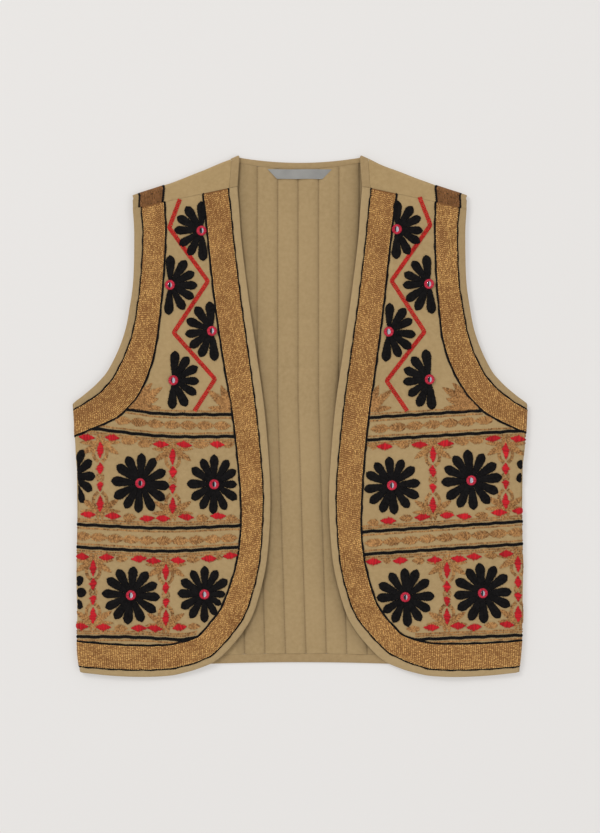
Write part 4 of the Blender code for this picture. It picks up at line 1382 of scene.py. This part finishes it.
def add_petal(stitches, x, y, angle, reach, wedge, squeeze, place):
    """A petal: a padded ground and slanted stitches from its middle line to both edges. squeeze
    narrows the whole flower across the body."""
    way = np.array([math.cos(angle) * squeeze, math.sin(angle)])
    side = np.array([-math.sin(angle) * squeeze, math.cos(angle)])
    centre = np.array([x, y])

    def at(r, across):
        return centre + np.multiply.outer(r, way) + np.multiply.outer(across, side)

    def shown(spots):
        return spots[..., 0] < seam_limit(spots[..., 1]) - CUT_BACK

    radii = np.linspace(PETAL_START, reach - 0.4, 3 * PETAL_RINGS)
    half = petal_half_width(radii, reach, wedge) * PETAL_GROUND
    inside = shown(at(radii, half)) | shown(at(radii, -half))
    if not inside.any():
        return
    radii = np.linspace(radii[inside][0], radii[inside][-1], PETAL_RINGS)
    half = petal_half_width(radii, reach, wedge) * PETAL_GROUND
    shares = np.cos(np.linspace(0, math.pi, PETAL_COLUMNS))
    spots = at(np.repeat(radii, PETAL_COLUMNS), np.outer(half, shares).ravel())
    spots = spots.reshape(PETAL_RINGS, PETAL_COLUMNS, 2)
    lifts = petal_top(radii[:, None], shares[None, :], reach)
    under = spots[:, [5, 3, 1]]
    xy = up_to_seam(np.concatenate([spots, under], axis=1), CUT_BACK)
    rises = np.concatenate([lifts, np.full(under.shape[:2], GAP * 0.4)], axis=1)
    stitches.form(place(xy[..., 0], xy[..., 1], rises), PETAL_TONE)
    for turn in (1, -1):
        roots = np.arange(3.0 + 0.3 * turn, reach - 0.6, PETAL_PITCH)
        roots = roots + stitches.draw.uniform(-0.2, 0.2, len(roots))
        ends = np.minimum(roots + PETAL_SLANT, reach - 0.2)
        widths = np.maximum(petal_half_width(ends, reach, wedge), 1.1)
        widths = widths + stitches.draw.uniform(*PETAL_RAGGED, len(roots))
        quads, rises = [], []
        for t in PETAL_STITCH:
            r = roots + (ends - roots) * t
            across = (widths * t - OVER_MIDDLE * (1.0 - t)) * turn
            quads.append(at(r, across))
            share = across / np.maximum(petal_half_width(r, reach, wedge), 0.9)
            rises.append(petal_top(r, np.clip(share, -1, 1), reach) - 0.1 * (t in (0.0, 1.0)))
        quads, rises = np.stack(quads, axis=1), np.stack(rises, axis=1)
        keep = shown(quads).sum(axis=1) > 1
        if keep.any():
            stitches.strands(up_to_seam(quads[keep], CUT_BACK), rises[keep], PETAL_THREAD, place)


def ring_form(stitches, x, y, place):
    """A ring of buttonhole stitches round a mirror, with its plain core."""
    turns = np.linspace(0, 2 * math.pi, RING_TURNS, endpoint=False)[:, None]
    angles = np.linspace(0, 2 * math.pi, RING_SIDES, endpoint=False)
    flank = RING_FLANK * np.abs(np.cos(turns))
    r = RING_RADIUS - flank + (1.0 + flank) * np.cos(angles)
    lift = RING_LIFT + 0.5 * np.sin(angles) + 0 * r
    core = place((x + r * np.cos(turns)).ravel(), (y + r * np.sin(turns)).ravel(), lift.ravel())
    around = [(n * RING_SIDES, (n + 1) % RING_TURNS * RING_SIDES) for n in range(RING_TURNS)]
    faces = [(a + i, a + (i + 1) % RING_SIDES, b + (i + 1) % RING_SIDES, b + i)
             for a, b in around for i in range(RING_SIDES)]
    stitches.put(core[None], faces, np.array([RING_TONE]), 1)
    turns = np.linspace(0, 2 * math.pi, RING_STITCHES, endpoint=False)
    turns = turns + stitches.draw.normal(0, 0.03, RING_STITCHES)
    spots, lifts = [], []
    for number, (r, wide, lift) in enumerate(RING_STITCH):
        slanted = turns + RING_SLANT * number / 3
        spots.append(np.column_stack([x + r * wide * np.cos(slanted), y + r * np.sin(slanted)]))
        lifts.append(np.full(RING_STITCHES, RING_LIFT + lift))
    stitches.strands(np.stack(spots, 1), np.stack(lifts, 1), RING_THREAD, place)


def mirror_form(stitches, x, y, place):
    """A small oval mirror, slightly domed, and tilted a little its own way."""
    tilt = stitches.draw.normal(0.0, MIRROR_TILT, 2)
    r, lift = np.array(MIRROR_RINGS).T[:, :, None]
    turns = 2 * math.pi * np.arange(MIRROR_TURNS) / MIRROR_TURNS
    across, up = r * MIRROR_SQUEEZE * np.cos(turns), r * np.sin(turns)
    lifts = RING_LIFT + lift + across * tilt[0] + up * tilt[1]
    spots = place((x + across).ravel(), (y + up).ravel(), lifts.ravel())
    stitches.put(spots[None], loft_faces(len(MIRROR_RINGS), MIRROR_TURNS), np.array([MIRROR_TONE]), 0)


def petals(facing, turn, reach):
    """Directions and reaches of a flower's petals: all round, or a fan away from the band that
    it stands on, in which they are longest along the band."""
    turn = math.radians(turn)
    if facing not in ("in", "out"):
        return [(turn + 2 * math.pi * n / PETALS_ROUND, reach) for n in range(PETALS_ROUND)]
    middle = turn + (math.pi if facing == "in" else 0.0)
    angles = [middle + (n - (PETALS_HALF - 1) / 2) * math.radians(HALF_FLOWER_STEP)
              for n in range(PETALS_HALF)]
    return [(angle, reach * (1.0 + OUTER_PETAL_GAIN - MIDDLE_PETAL_LOSS * math.cos(angle - middle) ** 2))
            for angle in angles]


def add_flowers(edges, holes, materials):
    signs = dict(SIDES)
    rings = {name: Stitches(SEEDS["rings"]) for name in signs}
    mirrors = {name: Stitches(SEEDS["mirrors"]) for name in signs}
    wool = [materials["black_thread"], materials["black_ground"]]
    for number, (side, name, x, y, reach, squeeze, turn, facing, nodes) in enumerate(FLOWERS):
        stitches = Stitches(SEEDS["flowers"] + number)
        place = front_place(side)
        bands = [resample(lines.line(1, 1, 1.0), 400) for lines in (edges[side], holes[side])]
        wedge = math.pi / PETALS_ROUND * (CUT_SPREAD if facing == "cut" else 1.0)
        for angle, full in petals(facing, turn, reach):
            full = full * stitches.draw.uniform(*PETAL_SPREAD)
            angle = angle + math.radians(stitches.draw.uniform(-PETAL_SWAY, PETAL_SWAY))
            room = clear_reach(x, y, angle, full, bands)
            add_petal(stitches, x, y, angle, room, wedge, squeeze, place)
        stands_for = [f"flower_{side}_{name}"]
        if facing == "cut":
            stands_for = [f"flower_{side}_{name}_petal_{n + 1}" for n in range(nodes)]
        else:
            ring_form(rings[side], x, y, place)
            mirror_form(mirrors[side], x, y, place)
        stitches.made(f"black_flower_{side}_{name}", "black_thread", wool, signs[side], *stands_for)
    for name, side in SIDES:
        pink = [materials["pink_thread"], materials["pink_ground"]]
        rings[name].made(f"mirror_rings_{name}", "red_thread", pink, side)
        mirrors[name].made(f"mirrors_{name}", "mirror", [materials["mirror"]], side)


def add_black_lines(edges, holes, materials):
    """Black lines of stem stitch: along both sides of the gold bands, and between the panels."""
    for name, side in SIDES:
        stitches = Stitches(SEEDS["lines"])
        place = front_place(name)
        for lines in (edges[name], holes[name]):
            for bands, extra in BESIDE_BAND:
                cord_line(stitches, wavy(stitches, lines.line(1.0, bands, extra)), BAND_LINE, place)
        for row in SEPARATORS[name]:
            cord_line(stitches, wavy(stitches, to_seam(polyline(row))), PANEL_LINE, place)
        stitches.made(f"black_lines_{name}", "black_thread", [materials["black_thread"]], side)


def wavy(stitches, line, height=LINE_WAVE):
    """A line that strays a little to both sides, as a hand sews it."""
    turns = 2 * math.pi * np.linspace(0.0, line_length(line), len(line)) / WAVE_LENGTH
    off = sum(height / n * np.sin(turns * n + stitches.draw.uniform(0, 6.3)) for n in (1, 1.7, 2.9))
    return moved_in(line, off)


def polyline(spots):
    """A smooth line through a few places."""
    return smooth_curve(spots) if len(spots) > 2 else resample(np.array(spots, float), 200)


def to_seam(line):
    """A line from the side seam inwards. Where it starts near the seam, it starts at the seam."""
    if line[0][0] < side_line(line[0][1]) - NEAR_SEAM:
        return line
    start = line[0] + unit(line[0] - line[40]) * (seam_limit(line[0][1]) - line[0][0])
    return resample(np.vstack([start, line]), len(line))


def add_red(materials):
    """Red zigzags of chain stitch, and red diamonds of short upright stitches."""
    for name, side in SIDES:
        stitches = Stitches(SEEDS["red"])
        place = front_place(name)
        line = zigzag_line(ZIGZAGS[name])
        for row in range(ZIGZAG_ROWS):
            off = (row - (ZIGZAG_ROWS - 1) / 2) * ZIGZAG_PITCH
            chain_row(stitches, moved_in(line, off), ZIGZAG_CHAIN, place, ZIGZAG_LIFT, 1)
        for x, ys in RED_STACKS[name]:
            for y, (length, width, widest) in zip(ys, STACK_SIZES):
                diamond(stitches, x, y, length, width, widest, math.pi / 2, place)
        for x, y in RED_ROWS[name]:
            length = RED_LENGTH * stitches.draw.uniform(*RED_LENGTHS)
            tilt = stitches.draw.normal(0.0, RED_TILT)
            diamond(stitches, x, y, length, RED_WIDTH, 0.0, tilt, place)
        red = [materials["red_thread"], materials["vermilion_thread"]]
        stitches.made(f"red_stitches_{name}", "red_thread", red, side)


def zigzag_line(spots):
    spots = np.array(spots, float)
    line = [spots[0]]
    for before, turn, after in zip(spots, spots[1:], spots[2:]):
        near = turn + unit(before - turn) * ZIGZAG_CORNER
        far = turn + unit(after - turn) * ZIGZAG_CORNER
        for t in np.linspace(0, 1, 5):
            line.append(near * (1 - t) ** 2 + turn * 2 * t * (1 - t) + far * t * t)
    line.append(spots[-1])
    return resample(np.array(line), 300)


def diamond(stitches, x, y, length, width, widest, angle, place):
    """A diamond filled with stitches across it, uneven at their ends."""
    way = np.array([math.cos(angle), math.sin(angle)])
    side = np.array([-way[1], way[0]])
    count = int(length / RED_PITCH)
    spread = (np.arange(count) + 0.5) / count * 2 - 1
    out = np.where(spread > widest, (spread - widest) / (1 - widest), (widest - spread) / (1 + widest))
    half = width / 2 * (1 - out**1.35) + RED_LEAST
    up = half * stitches.draw.uniform(*RED_RAGGED, count)
    down = half * stitches.draw.uniform(*RED_RAGGED, count)
    spine = np.array([x, y]) + np.multiply.outer(spread * length / 2, way)
    lean = way * RED_LEAN
    low, high = -side * down[:, None] - lean, side * up[:, None] + lean
    spots = np.stack([spine + low, spine + low * 0.5, spine + high * 0.5, spine + high], 1)
    lifts = np.tile(RED_LIFTS, (count, 1))
    stitches.strands(up_to_seam(spots), lifts, RED_THREAD, place)


def leaf(stitches, start, end, width, place, least=LEAF_LEAST):
    """A leaf filled with stitches that slant from its middle line to both edges."""
    start, end = np.array(start, float), np.array(end, float)
    length = np.hypot(*(end - start))
    way = unit(end - start)
    side = np.array([-way[1], way[0]])
    roots = np.arange(-LEAF_ROOT, length - LEAF_ROOT, LEAF_PITCH)
    for turn in (1, -1):
        tips = np.minimum(roots + LEAF_SLANT * width + LEAF_ROOT, length + LEAF_TIP)
        share = np.clip(tips / length, 0.0, 1.0)
        half = width / 2 * np.sin(math.pi * share**0.9) ** 0.7 + least
        half = half * stitches.draw.uniform(*LEAF_RAGGED, len(roots))
        for low, high in LEAF_PARTS:
            forward = 0.5 if low > 0 else 0.0
            a = start + np.multiply.outer(roots + forward, way) + side * (half * turn * low)[:, None]
            b = start + np.multiply.outer(tips, way) + side * (half * turn * high)[:, None]
            stitches.spindles(up_to_seam(a), up_to_seam(b), LEAF_THREAD, place)


def oval_row(stitches, centre, radii, place):
    """A row of chain stitch round an oval."""
    angle = np.linspace(0.0, 2 * math.pi, 40)
    line = np.column_stack([centre[0] + radii[0] * np.cos(angle), centre[1] + radii[1] * np.sin(angle)])
    chain_row(stitches, up_to_seam(line), OVAL_CHAIN, place)


def add_gold(materials):
    """Gold leaves, ovals and vines on the panels, and thin gold rows beside the black lines."""
    for name, side in SIDES:
        stitches = Stitches(SEEDS["gold"])
        place = front_place(name)
        for row, tier_side in zip(SEPARATORS[name], TIER_SIDES):
            line = to_seam(polyline(row))
            if tier_side:
                second = line + np.array([0.0, tier_side * TIER_DISTANCE])
                short_row(stitches, wavy(stitches, second, SHORT_WAVE), place)
            for off in (-BESIDE_LINE, BESIDE_LINE):
                short_row(stitches, wavy(stitches, moved_in(line, off), SHORT_WAVE), place)
        for row in VINES[name]:
            vine(stitches, to_seam(polyline(row)), place)
        for x, ys in RED_STACKS[name]:
            stack_work(stitches, x, ys, place)
        for x, y, length, width in GOLD_LENSES[name]:
            leaf(stitches, (x + length / 2, y), (x - length / 2, y), width, place)
        for leaves, shift in ((OUTER_CORNER_LEAVES, CORNER_SHIFT[name]), (INNER_CORNER_LEAVES, 0.0)):
            for x1, y1, x2, y2, width in leaves:
                leaf(stitches, (x1 + shift, y1), (x2 + shift, y2), width, place)
        stitches.made(f"gold_stitches_{name}", "gold_thread", [materials["gold_motif_thread"]], side)


def short_row(stitches, line, place):
    """A row of short stitches across a line, over one of chain stitch."""
    chain_row(stitches, line, SHORT_CHAIN, place)
    spots = stepped(line, SHORT_PITCH)
    half = SHORT_LENGTH / 2 * stitches.draw.uniform(*SHORT_RAGGED, (len(spots), 1))
    out = left_of(np.gradient(spots, axis=0)) * half
    stitches.spindles(spots - out, spots + out, SHORT_THREAD, place)


def vine(stitches, line, place):
    """Leaves end to end along a line, over a row of chain stitch that joins them."""
    chain_row(stitches, line, VINE_CHAIN, place)
    spots = resample(line, max(int(round(line_length(line) / VINE_PITCH)), 1) + 1)
    for a, b in zip(spots[:-1], spots[1:]):
        leaf(stitches, a + (b - a) * 0.02, a + (b - a) * 0.98, VINE_WIDTH, place, VINE_LEAST)


def stack_work(stitches, x, ys, place):
    """The gold work round a stack of four red diamonds: a knot and two leaves to each side at
    both ends, a halo round the first and the last diamond, and two ovals in the middle."""
    half = STACK_SIZES[0][0] / 2
    for end, sign in ((ys[0] + half, 1), (ys[3] - half, -1)):
        for turn, leaves in ((1, STACK_KNOTS), (1, STACK_LEAVES), (-1, STACK_LEAVES)):
            for x1, y1, x2, y2, width in leaves:
                spots = [(x + turn * across, end + sign * up) for across, up in ((x1, y1), (x2, y2))]
                leaf(stitches, *spots, width, place)
            if leaves is STACK_LEAVES:
                halo = smooth_curve(np.array(STACK_HALO) * (turn, sign) + (x, end))
                for off in HALO_ROWS:
                    chain_row(stitches, moved_in(up_to_seam(halo), off), HALO_CHAIN, place)
    for radii in STACK_OVALS:
        oval_row(stitches, (x, (ys[1] + ys[2]) / 2), radii, place)


def add_label(materials):
    """A blank satin label behind the neck, its ends folded under."""
    base = QUILT_CREST_WALL + GAP
    u = np.linspace(-1, 1, LABEL_COLUMNS)
    v = np.linspace(0, 1, LABEL_ROWS)[:, None]
    half = LABEL_BOTTOM_HALF + (LABEL_TOP_HALF - LABEL_BOTTOM_HALF) * v
    y = LABEL_BOTTOM_Y + (LABEL_TOP_Y - LABEL_BOTTOM_Y) * v + 0.12 * np.sin(u * 5.0)
    wave = 0.10 * np.sin(u * 7.0 + 0.8) + 0.22 * (1 - v) * np.cos(u * 2.2)
    ends = 0.35 * np.exp(-((1 - np.abs(u)) * half / 1.5) ** 2)
    outer = np.stack([half * u, y, base + LABEL_RAISE + wave - ends], axis=-1)
    inner = np.stack([half * u, y, np.full(y.shape, base)], axis=-1)
    piece = add_wall("blank_label", grid_cells(*y.shape), outer, inner, [materials["satin"]])
    return finished(piece, "label_satin", "label")


def add_quilting(materials):
    """Running stitches along each seam of the quilted lining."""
    stitches = Stitches(SEEDS["quilting"])

    def place(x, y, lift):
        return on_back(x, y, -(quilt_wall(x, y) + lining_relief(x, y) + lift))

    for n in range(-(MIDDLE_CHANNELS // 2), MIDDLE_CHANNELS // 2 + 1):
        seam = CHANNEL_SHIFT + n * CHANNEL
        top = neck_seam(min(abs(seam), 70.0), -1.5)
        y = np.arange(hem_line(seam) + HEM_STRIP + 2.0, top, QUILT_PITCH)
        y = y + stitches.draw.normal(0, 0.1, len(y))
        x = seam + channel_lean(y)
        a = np.column_stack([x + stitches.draw.normal(0, 0.05, len(y)), y])
        b = np.column_stack([x + 0.05, y + QUILT_STITCH])
        stitches.spindles(a, b, QUILT_THREAD, place, -0.05)
    stitches.made("quilting_stitches", "lining", [materials["quilting_thread"]], 1.0)


def noise_colour(tree, scale, detail):
    places = tree.nodes.new("ShaderNodeTexCoord")
    noise = tree.nodes.new("ShaderNodeTexNoise")
    noise.inputs["Scale"].default_value = scale
    noise.inputs["Detail"].default_value = detail
    tree.links.new(places.outputs["Object"], noise.inputs["Vector"])
    return noise.outputs["Fac"]


def set_or_link(tree, socket, value):
    """Gives a socket a plain value, or the output of another node."""
    if isinstance(value, (int, float, tuple)):
        socket.default_value = value
    else:
        tree.links.new(value, socket)


def attribute(tree, name):
    node = tree.nodes.new("ShaderNodeAttribute")
    node.attribute_name = name
    return node.outputs["Fac"]


def mix(tree, fac, low, high):
    """Colour from low to high by a value."""
    node = tree.nodes.new("ShaderNodeMix")
    node.data_type = "RGBA"
    for name, value in (("Factor", fac), ("A", low), ("B", high)):
        set_or_link(tree, node.inputs[name], value)
    return node.outputs["Result"]


def maths(tree, operation, a, b):
    node = tree.nodes.new("ShaderNodeMath")
    node.operation = operation
    for socket, value in zip(node.inputs, (a, b)):
        set_or_link(tree, socket, value)
    return node.outputs["Value"]


def stretched(tree, low, high, fac):
    """The value spread from low..high to 0..1."""
    node = tree.nodes.new("ShaderNodeMapRange")
    node.inputs["From Min"].default_value = low
    node.inputs["From Max"].default_value = high
    tree.links.new(fac, node.inputs["Value"])
    return node.outputs["Result"]


def start_material(name, roughness, sheen=0.0, specular=0.3, metallic=0.0):
    material = bpy.data.materials.new(name)
    material.use_nodes = True
    shader = material.node_tree.nodes["Principled BSDF"]
    shader.inputs["Roughness"].default_value = roughness
    shader.inputs["Sheen Weight"].default_value = sheen
    shader.inputs["Sheen Roughness"].default_value = 0.5
    shader.inputs["Specular IOR Level"].default_value = specular
    shader.inputs["Metallic"].default_value = metallic
    return material, material.node_tree, shader


def bump(tree, shader, height, distance, strength):
    node = tree.nodes.new("ShaderNodeBump")
    node.inputs["Distance"].default_value = distance
    node.inputs["Strength"].default_value = strength
    tree.links.new(height, node.inputs["Height"])
    tree.links.new(node.outputs["Normal"], shader.inputs["Normal"])


def weave(tree, pitch):
    """Threads over and under each other at that pitch, in metres, as a height from 0 to 1."""
    places = tree.nodes.new("ShaderNodeTexCoord")
    threads = []
    for direction in ("X", "Y"):
        wave = tree.nodes.new("ShaderNodeTexWave")
        wave.bands_direction = direction
        wave.inputs["Scale"].default_value = math.pi / (10 * pitch)
        wave.inputs["Distortion"].default_value = 1.2
        wave.inputs["Detail"].default_value = 1.0
        wave.inputs["Detail Scale"].default_value = 40.0
        tree.links.new(places.outputs["Object"], wave.inputs["Vector"])
        threads.append(wave.outputs["Fac"])
    return maths(tree, "MAXIMUM", *threads)


def cloth_material(name, colour, dark, light):
    """Plain woven cotton, uneven in tone, with painted shade where the mesh's shade values say so."""
    material, tree, shader = start_material(name, 0.9, sheen=0.12, specular=0.12)
    broad = stretched(tree, 0.35, 0.65, noise_colour(tree, *CLOTH_PATCHES))
    fine = stretched(tree, 0.3, 0.7, noise_colour(tree, *CLOTH_FIBRES))
    patches = mix(tree, broad, linear(*dark), linear(*colour))
    threads = weave(tree, WEAVE_PITCH)
    light_share = maths(tree, "MULTIPLY", maths(tree, "ADD", fine, threads), 0.5)
    spread = mix(tree, light_share, patches, linear(*light))
    # Painted shade: darker towards a shadow colour by the mesh's shade values
    with_painted_shade = mix(tree, attribute(tree, "shade"), spread, linear(*PAINTED_SHADE_COLOUR))
    tree.links.new(with_painted_shade, shader.inputs["Base Color"])
    wrinkles = maths(tree, "MULTIPLY", noise_colour(tree, *CLOTH_WRINKLES), WRINKLE_HEIGHT)
    relief = maths(tree, "ADD", maths(tree, "MULTIPLY", fine, FIBRE_HEIGHT), threads)
    bump(tree, shader, maths(tree, "ADD", relief, wrinkles), *CLOTH_BUMP)
    return material


def thread_material(name, dark, light, finish):
    """Thread whose shade changes from stitch to stitch, and slowly over the cloth."""
    material, tree, shader = start_material(name, *finish)
    broad = stretched(tree, 0.3, 0.7, noise_colour(tree, *THREAD_PATCHES))
    share = maths(tree, "ADD", maths(tree, "MULTIPLY", attribute(tree, "tone"), OWN_SHADE),
                  maths(tree, "MULTIPLY", broad, 1.0 - OWN_SHADE))
    tree.links.new(mix(tree, share, linear(*dark), linear(*light)), shader.inputs["Base Color"])
    bump(tree, shader, noise_colour(tree, *THREAD_FIBRES), *THREAD_BUMP)
    return material


def mirror_material():
    material, tree, shader = start_material("mirror_glass", 0.06, specular=0.5, metallic=1.0)
    smudge = stretched(tree, 0.4, 0.7, noise_colour(tree, *MIRROR_SMUDGES))
    shade = mix(tree, smudge, *[linear(*colour) for colour in MIRROR_COLOURS])
    tree.links.new(shade, shader.inputs["Base Color"])
    bump(tree, shader, noise_colour(tree, *MIRROR_WAVES), *MIRROR_BUMP)
    return material


def satin_material():
    """Woven satin: fine floats across the label, brighter where they catch the light."""
    material, tree, shader = start_material("label_satin", 0.42, sheen=0.2, specular=0.5)
    floats = weave(tree, SATIN_PITCH)
    slow = stretched(tree, 0.35, 0.65, noise_colour(tree, *SATIN_PATCHES))
    shade = mix(tree, slow, *[linear(*colour) for colour in SATIN_COLOURS])
    share = maths(tree, "MULTIPLY", floats, SATIN_FLOAT_SHARE)
    tree.links.new(mix(tree, share, shade, linear(*SATIN_FLOATS)), shader.inputs["Base Color"])
    bump(tree, shader, floats, *SATIN_BUMP)
    return material


def make_materials():
    cottons = {name: cloth_material(f"{name}_cotton", *colours) for name, colours in COTTONS.items()}
    threads = {name: thread_material(name, *row) for name, row in THREADS.items()}
    return {**cottons, **threads, "mirror": mirror_material(), "satin": satin_material()}


def area_light(name, place, size, power):
    """A soft lamp that shines on the middle of the garment."""
    light = bpy.data.lights.new(name, "AREA")
    light.shape = "RECTANGLE"
    light.size, light.size_y = size
    light.energy = power
    thing = bpy.data.objects.new(name, light)
    thing.location = place
    thing.rotation_mode = "QUATERNION"
    thing.rotation_quaternion = (-Vector(place)).to_track_quat("-Z", "Y")
    bpy.context.scene.collection.objects.link(thing)


def add_camera():
    camera = bpy.data.cameras.new("camera")
    camera.sensor_width = SENSOR
    camera.lens = SENSOR * CAMERA_DISTANCE / FRAME_HEIGHT
    camera.clip_start, camera.clip_end = 0.05, 20.0
    thing = bpy.data.objects.new("camera", camera)
    thing.location = Vector((*CAMERA_OFFSET, CAMERA_DISTANCE + CLOTH_HEIGHT)) * MM
    bpy.context.scene.collection.objects.link(thing)
    bpy.context.scene.camera = thing


def add_stage():
    floor = bpy.data.meshes.new("floor")
    corners = [(x * FLOOR_REACH, y * FLOOR_REACH, FLOOR_Z) for x, y in ((-1, -1), (1, -1), (1, 1), (-1, 1))]
    floor.from_pydata(corners, [], [(0, 1, 2, 3)])
    thing = bpy.data.objects.new("floor", floor)
    bpy.context.scene.collection.objects.link(thing)
    material, tree, shader = start_material("pale_floor", 0.95, specular=0.05)
    shade = mix(tree, noise_colour(tree, *FLOOR_PATCHES), *[linear(*colour) for colour in FLOOR_COLOURS])
    tree.links.new(shade, shader.inputs["Base Color"])
    shader.inputs["Emission Color"].default_value = linear(*FLOOR_GLOW_COLOUR)
    shader.inputs["Emission Strength"].default_value = FLOOR_GLOW
    floor.materials.append(material)


def add_light():
    """A pale studio, dark over half of what is straight above, with soft light from the upper left."""
    world = bpy.data.worlds.new("studio")
    world.use_nodes = True
    tree = world.node_tree
    ground = tree.nodes["Background"]
    ground.inputs["Color"].default_value = (1.0, 0.99, 0.98, 1.0)
    direction = tree.nodes.new("ShaderNodeTexCoord")
    split = tree.nodes.new("ShaderNodeSeparateXYZ")
    tree.links.new(direction.outputs["Generated"], split.inputs["Vector"])
    dark = maths(tree, "MULTIPLY", stretched(tree, 0.84, 0.90, split.outputs["Z"]),
                 stretched(tree, 0.04, -0.04, split.outputs["X"]))
    drop = maths(tree, "MULTIPLY", dark, WORLD_LIGHT - DARK_SIDE_LIGHT)
    tree.links.new(maths(tree, "SUBTRACT", WORLD_LIGHT, drop), ground.inputs["Strength"])
    bpy.context.scene.world = world
    bpy.context.scene.view_settings.view_transform = "Standard"
    for lamp in LAMPS:
        area_light(*lamp)


def state_sheets(back, fronts, label):
    """Gathers, for each front, the meshes that carry its side's name, apart from the back's and the
    shoulder's; nothing more is done with them.
    """
    things = list(bpy.context.scene.objects)
    sewn = [thing for thing in things if thing.type == "MESH" and thing.name not in
            ("floor", back.name, label.name, *[front.name for front in fronts])]
    for (name, _), front in zip(SIDES, fronts):
        own = [thing for thing in sewn if name in thing.name and "_back_" not in thing.name
               and "_shoulder_" not in thing.name]
        sewn = [thing for thing in sewn if thing not in own]


def main():
    materials = make_materials()
    edges, holes = {}, {}
    for (name, _), widths in zip(SIDES, SIDE_WIDTHS):
        edges[name] = Edge(FRONT_EDGE, widths, 1.0, EDGE_STATIONS, chest_seam())
        holes[name] = Edge(ARMHOLE, widths, -1.0, HOLE_STATIONS, chest_seam())
    back_hole = Edge(ARMHOLE, SIDE_WIDTHS[1], -1.0, HOLE_STATIONS, turn_start())
    cloth = [materials["shell"], materials["lining"]]
    back = add_back(back_hole, cloth)
    fronts = [add_front(name, side, edges[name], holes[name], cloth) for name, side in SIDES]
    add_bindings(edges, holes, back_hole, materials)
    ground = materials["gold_ground"]
    add_bands(edges, holes, [materials["gold_thread"], ground])
    add_shoulder_bands(back_hole, [materials["dark_gold_thread"], ground], materials["black_thread"])
    add_flowers(edges, holes, materials)
    add_black_lines(edges, holes, materials)
    add_red(materials)
    add_gold(materials)
    label = add_label(materials)
    add_quilting(materials)
    add_camera()
    add_stage()
    add_light()
    state_sheets(back, fronts, label)


main()
